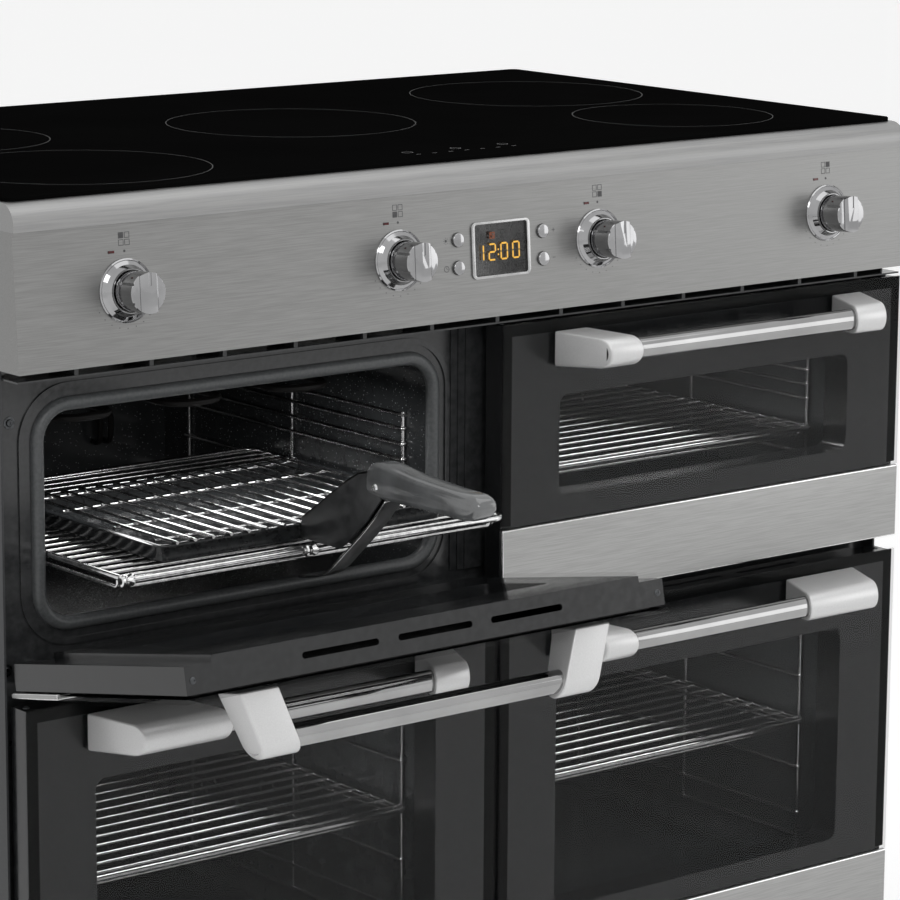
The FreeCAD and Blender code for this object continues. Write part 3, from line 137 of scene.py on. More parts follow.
# Grill pan: its front rim edge, its grid and its handle
PAN_X = -250.0
RIM_Y = -83.0
RIM_Z = 614.4
PAN_DEPTH = 230.0
GRID_BARS = 16
GRID_PITCH = 18.0
GRID_WIRE = 1.5
GRID_CROSS_SHARES = (0.12, 0.38, 0.72, 0.95)
GRIP_WIDTH = 23.0
GRIP_REACH = 235.5
GRIP_TOP = 69.9
GRIP_SHARES = ((0.374, 0.60), (0.376, 0.80), (0.384, 0.90), (0.400, 0.96), (0.425, 0.99), (0.460, 1.0),
               (0.505, 0.99), (0.560, 0.965), (0.640, 0.935), (0.760, 0.915), (0.880, 0.90),
               (0.955, 0.895), (0.985, 0.86), (0.999, 0.80), (1.0, 0.72), (0.985, 0.65), (0.955, 0.60),
               (0.905, 0.575), (0.800, 0.575), (0.640, 0.568), (0.476, 0.56))
STRAP_WIDTH = 19.0
STRAP_SHEET = 2.0
STRAP_SHARES = ((0.488, 0.565), (0.391, 0.215), (0.263, -0.172), (0.132, -0.524), (-0.021, -0.658))
RIVET_SHARES = (0.442, 0.701)
RIVET_PROFILE = ((0, -12.8), (2.4, -12.8), (3.5, -11.6), (3.5, 11.6), (2.4, 12.8), (0, 12.8))
WEB_OUTLINE = ((1.5, -11.0), (1.5, 7.0), (30.0, 26.0), (62.0, 48.0), (80.0, 58.0), (92.0, 61.0),
               (104.0, 60.0), (110.0, 39.0), (92.0, 19.0), (64.0, -5.0), (54.0, -11.0))
WEB_SHEET = 2.0
CLIP_XS = (-446.6, -263.6)
CLIP_PROFILE = ((2.7, -6.0), (4.6, -5.6), (5.2, -4.0), (3.4, -1.4), (3.0, 0.0), (3.4, 1.4), (5.2, 4.0),
                (4.6, 5.6), (2.7, 6.0))

# Door handles
HANDLE_SPAN = 381.4
HANDLE_DROP = 26.6
HANDLE_ROOT = 32.0
HANDLE_NOSE = 13.6
HANDLE_REACH = 43.0
HANDLE_LEAN = 20.0
HANDLE_BLOCK = 38.0
HANDLE_WIDE_BLOCK = 89.0
HANDLE_BAR_RADIUS = 10.0

# Screws: profiles from the axis outwards, and how far they sit from a door's centre and its ends
PLATE_SCREW = ((0, 0.9), (1.2, 0.9), (1.3, 1.5), (2.6, 1.4), (3.1, 0.9), (3.2, 0.35), (5.2, 0.3),
               (5.4, 0.0), (0, 0))
PLATE_SCREW_HIGH = (232.8, 38.0)
PLATE_SCREW_LOW = (238.8, 10.6)
DOOR_SCREW = ((0, 0.5), (1.0, 0.5), (1.1, 1.0), (2.3, 0.9), (2.9, 0.4), (3.0, 0.02), (0, 0.02))

# Rounding of edges
EDGE = 0.5
STRIP_EDGE = 0.8
CLOCK_EDGE = 0.7
STRAP_EDGE = 0.9
HANDLE_EDGE = 2.0
GRIP_EDGE = 6.0

# Hob
HOB_Z = 900.0
ZONES = ((-345.0, 124.0, 117.0), (-335.0, 356.0, 96.0), (0.0, 285.0, 117.0), (335.0, 124.0, 96.0),
         (345.0, 356.0, 117.0))
RING_DOT = 0.5
RING_PITCH = 2.2
TOUCH_COUNT = 7
TOUCH_PITCH = 18.0
TOUCH_BAR_Y = 22.0
TOUCH_RING_Y = 38.0

# Studio, in metres and watts: name, place, target, size and power of each soft box
FLOOR_REACH = 40.0
FLOOR_LIFT = 0.4
ROOM_LIGHT = 0.55
SOFT_BOXES = (
    ("soft_box_front", (-1.6, -3.4, 2.6), (0, 0, 0.6), (1.6, 1.0), 20.0),
    ("soft_box_right", (3.2, -2.6, 1.5), (0.5, 0, 0.7), (1.6, 2.2), 16.0),
    ("soft_box_top", (0.6, -0.8, 3.2), (0, 0, 0.8), (2.6, 2.0), 16.0),
)
OVEN_LAMP = 0.45
OVEN_LAMP_SIZE = (0.3, 0.05)
OVEN_LAMP_Y = 70.0
OVEN_LAMP_DROP = 30.0
CAMERA_PLACE = (-2.08597, -2.6935, 1.30108)
CAMERA_LENS = 151.09
CAMERA_HEADING = math.radians(38.6249)
CAMERA_PITCH = math.radians(11.4215)
CAMERA_ROLL = math.radians(0.3610)

scene = bpy.context.scene


def place(x, y, z):
    """Point of the cooker, in the frame's metres."""
    return Vector((x, y + CENTRE_SHIFT_Y, z)) * MM


# From a drawing in millimetres to its place in the frame
COOKER = Matrix.Translation(Vector((0, CENTRE_SHIFT_Y, 0)) * MM) @ Matrix.Scale(MM, 4)
UPRIGHT = Matrix.Rotation(math.radians(90), 4, "X")
FASCIA_LEAN = Matrix.Rotation(-FASCIA_TILT, 4, "X")
FASCIA = COOKER @ Matrix.Translation((0, FASCIA_BOTTOM_Y, FASCIA_Z)) @ FASCIA_LEAN
FASCIA_FACE = FASCIA @ UPRIGHT


def door_matrix(name, z):
    """Place of a door at rest: the top left one hangs open."""
    if name != "top_left":
        return COOKER
    hinge = Matrix.Translation((0, HINGE_Y, z + HINGE_RISE))
    return COOKER @ hinge @ Matrix.Rotation(math.radians(DOOR_OPEN_ANGLE), 4, "X") @ hinge.inverted()


# Materials
def linear(hex_colour):
    """Linear colour of an sRGB hex value."""
    channels = [int(hex_colour[i:i + 2], 16) / 255 for i in (1, 3, 5)]
    return tuple(c / 12.92 if c <= 0.04045 else ((c + 0.055) / 1.055) ** 2.4 for c in channels) + (1.0,)


def add(tree, kind, inputs=None, **settings):
    """Add one node: a setting is set, an input is given a value or linked to an output."""
    node = tree.nodes.new(kind)
    for name, value in settings.items():
        setattr(node, name, value)
    for name, value in (inputs or {}).items():
        if isinstance(value, bpy.types.NodeSocket):
            tree.links.new(value, node.inputs[name])
        else:
            node.inputs[name].default_value = value
    return node


def new_tree(name):
    material = bpy.data.materials.new(name)
    material.use_nodes = True
    material.node_tree.nodes.clear()
    return material, material.node_tree


def pattern_coordinates(tree, size):
    """Object coordinates counted in pattern sizes: one in millimetres, or one each for X, Y and Z."""
    sides = size if isinstance(size, tuple) else (size,) * 3
    scale = tuple(1 / (side * MM) for side in sides)
    places = add(tree, "ShaderNodeTexCoord").outputs["Object"]
    return add(tree, "ShaderNodeMapping", {"Vector": places, "Scale": scale}).outputs[0]


def close(tree, inputs):
    """Principled surface and the material's output."""
    shader = add(tree, "ShaderNodeBsdfPrincipled", inputs)
    add(tree, "ShaderNodeOutputMaterial", {"Surface": shader.outputs[0]})


def surface(name, size, colours, roughness, bump_height=0.0, detail=3.0, **fixed):
    """One finish: fine noise moves its colour and roughness between two values and lifts its surface.

    The index of refraction is the node's own 1.5 where a finish doesn't state it.
    """
    material, tree = new_tree(name)
    vector = pattern_coordinates(tree, size)
    noise = add(tree, "ShaderNodeTexNoise", {"Vector": vector, "Scale": 1.0, "Detail": detail})
    spread = add(tree, "ShaderNodeMapRange", {"Value": noise.outputs[0], "From Min": 0.35,
                                              "From Max": 0.65}).outputs[0]
    colour = add(tree, "ShaderNodeMix", {"Factor": spread, 6: linear(colours[0]),
                                         7: linear(colours[1])}, data_type="RGBA")
    gloss = add(tree, "ShaderNodeMapRange", {"Value": spread, "To Min": roughness[0],
                                             "To Max": roughness[1]})
    inputs = {"Base Color": colour.outputs[2], "Roughness": gloss.outputs[0]}
    if bump_height:
        bump = add(tree, "ShaderNodeBump", {"Height": spread, "Strength": 0.5,
                                            "Distance": bump_height * MM})
        inputs["Normal"] = bump.outputs[0]
    inputs.update({key.replace("_", " "): value for key, value in fixed.items()})
    close(tree, inputs)
    return material


# Brushed stainless steel: belt-ground along X, so light smears across the lines.
# The real lines are about 0.2 mm apart; they are drawn 0.8 mm apart so that they show.
brushed_steel = surface("stainless_steel_brushed", (34, 0.8, 0.8), ("#7d7d7c", "#898988"), (0.32, 0.42),
                        0.004, Metallic=1.0)
# Strips under the doors: the same grind, upright; their colour is painted lighter than the fascia steel,
# a lit copy for the extra room light they take.
strip_steel = surface("stainless_steel_brushed_strip", (34, 0.8, 0.8), ("#929291", "#9f9f9e"),
                      (0.32, 0.42), 0.004, Metallic=1.0)
# The rolled edge round the hob is the same steel, in a lighter colour than the fascia.
rolled_steel = surface("stainless_steel_lighter_trim", (50, 1.2, 1.2), ("#8a8a8a", "#949493"),
                       (0.40, 0.48), 0.002, Metallic=1.0)
# Chromium plate on knobs and bezels: a mirror, a little darker than silver, with a slight cloud.
chrome = surface("chromium_plate_polished", 30, ("#929293", "#a0a0a1"), (0.05, 0.09), Metallic=1.0)
# Shelf wire is plated straight over drawn wire, so it is a little duller.
wire_chrome = surface("chromium_plate_on_wire", 6, ("#b4b4b4", "#cfcfcf"), (0.14, 0.24), Metallic=1.0)
# Handle ends: die-cast aluminium under a satin silver lacquer that scatters light like paint.
satin_aluminium = surface("aluminium_satin_lacquered", 0.9, ("#d2d2d2", "#dadada"), (0.32, 0.42), 0.008,
                          Metallic=0.35)
# Handle bars: stainless tube, polished to a mirror.
polished_steel = surface("stainless_steel_polished", 60, ("#929292", "#9e9e9e"), (0.05, 0.08),
                         Metallic=1.0)
# Cut edges, rivets and clips: bare steel, bright where the tool went through it.
bright_steel = surface("steel_bright_cut", 4, ("#c2c2c2", "#d6d6d6"), (0.12, 0.2), Metallic=1.0)
# Pan grip: dark phenolic moulding, polished until the light runs along it.
grip_moulding = surface("phenolic_moulded_polished", 26, ("#565758", "#686a6b"), (0.08, 0.14), IOR=1.8)
# Web and strap of the pan handle: pressed sheet under a satin black enamel.
pressed_enamel = surface("steel_pressed_satin_enamel", 9, ("#1f2021", "#2c2d2e"), (0.28, 0.40))
# Screws: blackened steel, dull where the driver has not rubbed it.
black_screw = surface("steel_blackened", 3, ("#3c3d3e", "#56585a"), (0.24, 0.36), Metallic=1.0)
# Door frames: black vitreous enamel with a slight orange peel.
black_enamel = surface("vitreous_enamel_black", 7, ("#161718", "#1e1f20"), (0.14, 0.22), 0.02)
# Front frame: the same enamel, one coat thinner and greyer.
plate_enamel = surface("vitreous_enamel_one_coat", 7, ("#2b2c2d", "#363738"), (0.14, 0.22), 0.02)
# Grill pan: the same enamel, more worn.
pan_enamel = surface("vitreous_enamel_pan", 5, ("#1e1f20", "#27292a"), (0.12, 0.18))
# Side, base and back sheets: powder paint with a fine grain.
side_paint = surface("powder_coat_dark_grey", 1.6, ("#2f3031", "#37383a"), (0.42, 0.56), 0.02, IOR=1.48)
# Shields and brackets: zinc with its large soft crystals.
galvanised = surface("zinc_coated_steel", 22, ("#8d9092", "#a4a7a8"), (0.34, 0.55), detail=5.0,
                     Metallic=1.0)
# Hob: black glass-ceramic. It mirrors nothing, or the white room would grey it at this low angle.
hob_glass = surface("glass_ceramic_black", 160, ("#0b0b0b", "#0d0d0d"), (0.05, 0.08),
                    Specular_IOR_Level=0.0)
# Outer door pane: grey-tinted toughened glass that the cavity shows through.
door_glass = surface("toughened_glass_tinted", 200, ("#101112", "#141516"), (0.02, 0.03),
                     Specular_IOR_Level=0.35, Alpha=0.16)
# Inner door pane: clear toughened glass.
inner_glass = surface("toughened_glass_clear", 200, ("#1d2020", "#222525"), (0.02, 0.04), Alpha=0.08)
# Ceramic ink fired on the back of the outer pane: with no air between, the ink itself mirrors nothing.
pane_print = surface("ceramic_print_black", 2, ("#0c0d0d", "#101111"), (0.4, 0.5), Specular_IOR_Level=0.0)
# Clock window: smoked acrylic over a black display.
clock_glass = surface("acrylic_smoked", 60, ("#050505", "#070707"), (0.05, 0.09), Alpha=0.5, IOR=1.49,
                      Specular_IOR_Level=0.05)
clock_plastic = surface("polycarbonate_black_gloss", 20, ("#060606", "#0a0a0a"), (0.25, 0.35), IOR=1.55)
# Clock surround: plastic with a satin metal film.
clock_rim = surface("abs_metallised_satin", 8, ("#a2a2a2", "#b0b0b0"), (0.24, 0.32), Metallic=1.0)
# Door seal: moulded grey silicone; its colour is lifted lighter as a painted sheen for the highlight
# along the bead.
gasket_rubber = surface("silicone_rubber_moulded", 3, ("#4e5051", "#5a5c5d"), (0.3, 0.42), 0.02, IOR=1.42)
# Heating element sheath, oxidised brown-black by heat.
element_black = surface("incoloy_sheath_oxidised", 6, ("#0c0b0b", "#151312"), (0.5, 0.65), 0.02,
                        Specular_IOR_Level=0.2)
coil_aluminium = surface("aluminium_litz_wound", 2, ("#6d5f52", "#877666"), (0.4, 0.6), 0.05,
                         Metallic=1.0)
foot_plastic = surface("nylon_moulded_black", 2, ("#141414", "#1a1a1a"), (0.5, 0.65), 0.02, IOR=1.53)
switch_plastic = surface("phenolic_moulded_ivory", 3, ("#cfccc0", "#dad7cb"), (0.45, 0.6), 0.02, IOR=1.55)
lens_red = surface("acrylic_red", 4, ("#3a0a0c", "#571015"), (0.12, 0.2), IOR=1.49)
mark_ink = surface("screen_print_dark", 1.5, ("#3a3a3b", "#4b4b4c"), (0.5, 0.65))
zone_ink = surface("ceramic_print_grey", 2, ("#4c4c4c", "#5e5e5e"), (0.5, 0.65))


def speckled_enamel():
    """Cavity enamel: ground coat of near-black glass with fine white specks fired in, 2 to 3 mm apart."""
    material, tree = new_tree("vitreous_enamel_speckled")
    vector = pattern_coordinates(tree, 2.6)
    cells = add(tree, "ShaderNodeTexVoronoi", {"Vector": vector, "Scale": 1.0})
    size = add(tree, "ShaderNodeMath", {0: cells.outputs["Color"], 1: 0.22}, operation="MULTIPLY")
    speck = add(tree, "ShaderNodeMath", {0: cells.outputs["Distance"], 1: size.outputs[0]},
                operation="LESS_THAN")
    soft = add(tree, "ShaderNodeTexNoise", {"Vector": vector, "Scale": 0.2, "Detail": 2.0})
    ground = add(tree, "ShaderNodeMix", {"Factor": soft.outputs[0], 6: linear("#232425"),
                                         7: linear("#303233")}, data_type="RGBA")
    colour = add(tree, "ShaderNodeMix", {"Factor": speck.outputs[0], 6: ground.outputs[2],
                                         7: linear("#8f9293")}, data_type="RGBA")
    bump = add(tree, "ShaderNodeBump", {"Height": soft.outputs[0], "Strength": 0.3,
                                        "Distance": 0.05 * MM})
    close(tree, {"Base Color": colour.outputs[2], "Roughness": 0.2, "Normal": bump.outputs[0]})
    return material


def lit_display(name, hex_colour, hot_colour, strength):
    """Light-emitting segment under the clock's window, with a slightly uneven glow."""
    material, tree = new_tree(name)
    vector = pattern_coordinates(tree, 1.2)
    noise = add(tree, "ShaderNodeTexNoise", {"Vector": vector, "Scale": 1.0})
    colour = add(tree, "ShaderNodeMix", {"Factor": noise.outputs[0], 6: linear(hex_colour),
                                         7: linear(hot_colour)}, data_type="RGBA")
    close(tree, {"Base Color": linear("#201000"), "Roughness": 0.5, "Emission Color": colour.outputs[2],
                 "Emission Strength": strength})
    return material


cavity_enamel = speckled_enamel()
amber_light = lit_display("light_emitting_amber", "#f0a41c", "#ffd25a", 1.0)
dim_amber = lit_display("light_emitting_amber_dim", "#8a3c10", "#9a4814", 0.5)

slot_materials = {
    "stainless": brushed_steel,
    "hob_black_glass": hob_glass,
    "door_black_glass": door_glass,
    "clock_glass": clock_glass,
    "black_enamel": black_enamel,
    "cavity_enamel": cavity_enamel,
    "side_paint": side_paint,
    "galvanised": galvanised,
    "chrome": chrome,
    "satin_aluminium": satin_aluminium,
    "handle_steel": pressed_enamel,
    "coil_aluminium": coil_aluminium,
    "element_black": element_black,
    "gasket_rubber": gasket_rubber,
    "foot_plastic": foot_plastic,
    "switch_plastic": switch_plastic,
    "clock_plastic": clock_plastic,
    "lens_red": lens_red,
}
node_materials = {"hob_trim": rolled_steel, "front_frame": plate_enamel}
for door in DOORS:
    node_materials["door_" + door[0] + "_inner_glass"] = inner_glass

# Every CAD node gets the finish of its own slot, or a closer one
for name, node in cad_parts.items():
    for holder in node.material_slots:
        slot_name = holder.material.name.split(".")[0]
        holder.material = node_materials.get(name) or slot_materials[slot_name]


# Mesh tools
def finish_piece(name, mesh, materials, body, replaced=(), sharp=35.0, matrix=None):
    """Place a mesh, turn its faces out, give it its finish and let it ride on its body."""
    if matrix is not None:
        mesh.transform(matrix)
    work = bmesh.new()
    work.from_mesh(mesh)
    bmesh.ops.recalc_face_normals(work, faces=work.faces)
    work.to_mesh(mesh)
    work.free()
    mesh.name = name
    places = [face.material_index for face in mesh.polygons]
    mesh.materials.clear()
    for material in materials:
        mesh.materials.append(material)
    if len(materials) > 1:
        mesh.polygons.foreach_set("material_index", places)
    mesh.shade_smooth()
    mesh.set_sharp_from_angle(angle=math.radians(sharp))
    piece = bpy.data.objects.new(name, mesh)
    scene.collection.objects.link(piece)
    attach(piece, body)
    if replaced:
        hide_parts(*replaced)


def mesh_from(work):
    """Mesh of an edit, its faces turned out."""
    mesh = bpy.data.meshes.new("part")
    bmesh.ops.recalc_face_normals(work, faces=work.faces)
    work.to_mesh(mesh)
    work.free()
    return mesh


def carrier_of(mesh):
    """Passing object that carries a mesh while modifiers are worked in."""
    carrier = bpy.data.objects.new("work", mesh)
    scene.collection.objects.link(carrier)
    return carrier


def worked_in(carrier):
    """Mesh of a carrier with its modifiers worked in; the carrier is removed."""
    carrier.update_tag()
    bpy.context.view_layer.update()
    graph = bpy.context.evaluated_depsgraph_get()
    mesh = bpy.data.meshes.new_from_object(carrier.evaluated_get(graph))
    bpy.data.objects.remove(carrier)
    return mesh


def bevelled(mesh, width, segments, angle, material=-1):
    """Mesh with its sharp edges rounded, which may take a second material."""
    for index in range(material + 1):
        mesh.materials.append(None)
    carrier = carrier_of(mesh)
    bevel = carrier.modifiers.new("bevel", "BEVEL")
    bevel.width = width
    bevel.segments = segments
    bevel.limit_method = "ANGLE"
    bevel.angle_limit = math.radians(angle)
    bevel.use_clamp_overlap = True
    bevel.material = material
    return worked_in(carrier)


def softened(node, width, segments=3, angle=30.0, material=-1):
    """Copy of a CAD node, its triangles merged to whole faces and its edges rounded."""
    work = bmesh.new()
    work.from_mesh(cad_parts[node].data)
    bmesh.ops.remove_doubles(work, verts=work.verts, dist=0.005 * MM)
    bmesh.ops.dissolve_limit(work, angle_limit=math.radians(1), verts=work.verts, edges=work.edges)
    work.verts.index_update()
    corners = [tuple(vertex.co) for vertex in work.verts]
    faces = [[vertex.index for vertex in face.verts] for face in work.faces]
    work.free()
    mesh = bpy.data.meshes.new("copy")
    mesh.from_pydata(corners, [], faces)
    mesh.update()
    return bevelled(mesh, width * MM, segments, angle, material)


def joined(meshes):
    """One mesh from several, in one material."""
    work = bmesh.new()
    for mesh in meshes:
        work.from_mesh(mesh)
    result = bpy.data.meshes.new("joined")
    work.to_mesh(result)
    work.free()
    return result


def prism(outline, low, high):
    """Outline of (x, y) points carried from low to high along Z."""
    work = bmesh.new()
    bottom = [work.verts.new((x, y, low)) for x, y in outline]
    top = [work.verts.new((x, y, high)) for x, y in outline]
    work.faces.new(bottom)
    work.faces.new(top)
    count = len(outline)
    for index in range(count):
        following = (index + 1) % count
        work.faces.new((bottom[index], bottom[following], top[following], top[index]))
    return mesh_from(work)


def ring_plate(outer, inner, low, high):
    """Flat ring between two outlines with as many points each, from low to high along Z."""
    work = bmesh.new()
    loops = [[work.verts.new((x, y, level)) for x, y in outline]
             for level in (low, high) for outline in (outer, inner)]
    outer_low, inner_low, outer_high, inner_high = loops
    count = len(outer)
    for near, far in ((outer_low, inner_low), (outer_high, inner_high),
                      (outer_low, outer_high), (inner_low, inner_high)):
        for index in range(count):
            following = (index + 1) % count
            work.faces.new((near[index], near[following], far[following], far[index]))
    return mesh_from(work)


def arc(cx, cy, radius, start, end, steps):
    """Points of an arc, with angles in degrees."""
    points = []
    for index in range(steps + 1):
        angle = math.radians(start + (end - start) * index / steps)
        points.append((cx + radius * math.cos(angle), cy + radius * math.sin(angle)))
    return points


def rounded_outline(x, y, width, height, radius):
    """Rectangle with rounded corners, eight steps to a corner."""
    points = []
    for turn, (across, up) in enumerate(((1, 1), (-1, 1), (-1, -1), (1, -1))):
        points += arc(x + across * (width / 2 - radius), y + up * (height / 2 - radius), radius,
                      90 * turn, 90 * turn + 90, 8)
    return points


def box_outline(x, y, width, height):
    return ((x - width / 2, y - height / 2), (x + width / 2, y - height / 2),
            (x + width / 2, y + height / 2), (x - width / 2, y + height / 2))


def lathe(profile, count):
    """Turned form round Z from (radius, height) points: a point on the axis closes it."""
    work = bmesh.new()
    rings = []
    for radius, height in profile:
        if radius < 1e-6:
            rings.append([work.verts.new((0, 0, height))])
            continue
        ring = []
        for index in range(count):
            angle = 2 * math.pi * index / count
            ring.append(work.verts.new((radius * math.cos(angle), radius * math.sin(angle), height)))
        rings.append(ring)
    closed = rings[0][0].co.xy.length > 1e-6
    pairs = list(zip(rings, rings[1:])) + ([(rings[-1], rings[0])] if closed else [])
    for near, far in pairs:
        for index in range(count):
            following = (index + 1) % count
            corners = [near[index % len(near)], near[following % len(near)], far[following % len(far)],
                       far[index % len(far)]]
            corners = list(dict.fromkeys(corners))
            if len(corners) > 2:
                work.faces.new(corners)
    return mesh_from(work)


def moved(mesh, x, y, z):
    """Mesh carried along X, Y and Z."""
    mesh.transform(Matrix.Translation((x, y, z)))
    return mesh


def disc(inner, outer, height, count):
    """Flat ring on Z = 0, or a full disc where its inner radius is 0."""
    return lathe([(inner, 0), (outer, 0), (outer, height), (inner, height)], count)


def printed_bar(x, y, width, height):
    """Printed rectangle, as thick as the ink, round its centre."""
    return prism(box_outline(x, y, width, height), 0, INK)


# Geometry Nodes
def new_node_tree(name, sizes):
    """Tree with named inputs: a list of (name, socket kind, first value)."""
    tree = bpy.data.node_groups.new(name, "GeometryNodeTree")
    tree.interface.new_socket("Geometry", in_out="OUTPUT", socket_type="NodeSocketGeometry")
    tree.interface.new_socket("Points", in_out="INPUT", socket_type="NodeSocketGeometry")
    for title, kind, value in sizes:
        socket = tree.interface.new_socket(title, in_out="INPUT", socket_type="NodeSocket" + kind)
        if value is not None:
            socket.default_value = value
    return tree, tree.nodes.new("NodeGroupInput").outputs


def close_node_tree(tree, instances, material):
    real = add(tree, "GeometryNodeRealizeInstances", {0: instances})
    painted = add(tree, "GeometryNodeSetMaterial", {"Geometry": real.outputs[0], "Material": material})
    add(tree, "NodeGroupOutput", {0: painted.outputs[0]})


def bent_wire_tree():
    """Round wire along every run of edges, its corners bent to a radius and its ends closed."""
    tree, sizes = new_node_tree("bent_wire", (("Radius", "Float", 2.0), ("Bend", "Float", 4.0),
                                              ("Material", "Material", None)))
    path = add(tree, "GeometryNodeMeshToCurve", {"Mesh": sizes["Points"]})
    bent = add(tree, "GeometryNodeFilletCurve", {"Curve": path.outputs[0], "Count": 8,
                                                 "Radius": sizes["Bend"], "Limit Radius": True},
               mode="POLY")
    section = add(tree, "GeometryNodeCurvePrimitiveCircle", {"Resolution": 12, "Radius": sizes["Radius"]})
    wire = add(tree, "GeometryNodeCurveToMesh", {"Curve": bent.outputs[0],
                                                 "Profile Curve": section.outputs[0],
                                                 "Fill Caps": True})
    close_node_tree(tree, wire.outputs[0], sizes["Material"])
    return tree


def dot_ring_tree():
    """Flat dots spaced round an arc: Count dots, from Start through Sweep, on Ring Radius."""
    tree, sizes = new_node_tree("dot_ring", (("Count", "Int", 8), ("Ring Radius", "Float", 0.03),
                                             ("Start", "Float", 0.0), ("Sweep", "Float", 6.28),
                                             ("Dot Radius", "Float", 0.001), ("Depth", "Float", 0.0001),
                                             ("Material", "Material", None)))
    ring = add(tree, "GeometryNodeCurveArc", {"Resolution": sizes["Count"],
                                              "Radius": sizes["Ring Radius"],
                                              "Start Angle": sizes["Start"],
                                              "Sweep Angle": sizes["Sweep"]})
    dot = add(tree, "GeometryNodeMeshCylinder", {"Vertices": 10, "Radius": sizes["Dot Radius"],
                                                 "Depth": sizes["Depth"]})
    row = add(tree, "GeometryNodeInstanceOnPoints", {"Points": ring.outputs[0],
                                                     "Instance": dot.outputs[0]})
    close_node_tree(tree, row.outputs[0], sizes["Material"])
    return tree


def spread_tree():
    """One small part set on every given point."""
    tree, sizes = new_node_tree("parts_on_points", (("Part", "Object", None),
                                                    ("Material", "Material", None)))
    part = add(tree, "GeometryNodeObjectInfo", {"Object": sizes["Part"]})
    row = add(tree, "GeometryNodeInstanceOnPoints", {"Points": sizes["Points"],
                                                     "Instance": part.outputs["Geometry"]})
    close_node_tree(tree, row.outputs[0], sizes["Material"])
    return tree


BENT_WIRE = bent_wire_tree()
DOT_RING = dot_ring_tree()
PARTS_ON_POINTS = spread_tree()


def grown(tree, values, points=(), edges=()):
    """Mesh that a tree makes from the named values, on a mesh of points and edges."""
    base = bpy.data.meshes.new("points")
    base.from_pydata([tuple(point) for point in points], list(edges), [])
    named = {item.name: item.identifier for item in tree.interface.items_tree if item.in_out == "INPUT"}
    carrier = carrier_of(base)
    modifier = carrier.modifiers.new("shape", "NODES")
    modifier.node_group = tree
    for title, value in values.items():
        modifier[named[title]] = value
    return worked_in(carrier)


def wires(paths, radius, bend, material=wire_chrome):
    """Round wires along paths of points; a path that comes back to its start is a closed loop."""
    points = []
    edges = []
    for path in paths:
        start = len(points)
        closed = path[0] == path[-1]
        run = list(path[:-1]) if closed else list(path)
        points += run
        edges += [(start + index, start + index + 1) for index in range(len(run) - 1)]
        if closed:
            edges.append((start + len(run) - 1, start))
    return grown(BENT_WIRE, {"Radius": radius, "Bend": bend, "Material": material}, points, edges)


def dot_ring(count, radius, dot, ink, start=0.0, sweep=2 * math.pi):
    """Printed dots round an arc, centred on zero."""
    return grown(DOT_RING, {"Count": count, "Ring Radius": radius, "Start": start, "Sweep": sweep,
                            "Dot Radius": dot, "Depth": INK, "Material": ink})


# Door seals: a round silicone bead pressed into the front plate round each opening
seals = []
for name, x, z, height in DOORS:
    low = z + OPENING_BOTTOM - SEAL_OUT
    high = z + height - OPENING_TOP_DROP + SEAL_OUT
    half = OPENING_HALF_WIDTH + SEAL_OUT
    y = PLATE_FRONT_Y + SEAL_SINK
    loop = [(x - half, y, low), (x + half, y, low), (x + half, y, high), (x - half, y, high)]
    seals.append(wires([loop + loop[:1]], SEAL_RADIUS, OPENING_CORNER + SEAL_OUT, gasket_rubber))
finish_piece("seal_beads", joined(seals), [gasket_rubber], "cabinet", ["door_gaskets"],
             matrix=COOKER)

# Wire shelves: bars across a closed frame, with a low cross wire and a runner under each side
for name, x, front, depth, level, pitch in SHELVES:
    near = front + SHELF_WIRE
    far = front + depth - SHELF_WIRE
    outline = [(x - SHELF_SIDE, near, level), (x + SHELF_SIDE, near, level),
               (x + SHELF_SIDE, far, level), (x - SHELF_SIDE, far, level)]
    parts = [wires([outline + outline[:1]], SHELF_WIRE, SHELF_CORNER)]
    count = int((depth - 2 * SHELF_END_MARGIN) // pitch)
    first = (near + far) / 2 - pitch * count / 2
    bar_z = level + SHELF_BAR_RISE
    bar_end = SHELF_SIDE - SHELF_BAR
    bars = [[(x - bar_end, first + pitch * index, bar_z), (x + bar_end, first + pitch * index, bar_z)]
            for index in range(count + 1)]
    parts.append(wires(bars, SHELF_BAR, 0.0))
    low_end = SHELF_SIDE - LOW_WIRE_INSET
    low_z = level - LOW_WIRE_DROP
    low = [(x - low_end, first, bar_z), (x - low_end, first, low_z), (x + low_end, first, low_z),
           (x + low_end, first, bar_z)]
    parts.append(wires([low], LOW_WIRE, 3.0))
    runners = []
    for side in (-1, 1):
        runner_x = x + side * (SHELF_SIDE - RUNNER_INSET)
        start = near + RUNNER_SETBACK
        end = far - RUNNER_END_GAP
        runners.append([(runner_x, start, level), (runner_x, start, level - RUNNER_DROP),
                        (runner_x, end, level - RUNNER_DROP), (runner_x, end, level)])
    parts.append(wires(runners, SHELF_BAR, 4.0))
    body = "grill_shelf" if name == "top_left" else "shelf_" + name
    finish_piece("wire_shelf_" + name, joined(parts), [wire_chrome], body, ["shelf_" + name],
                 matrix=COOKER)

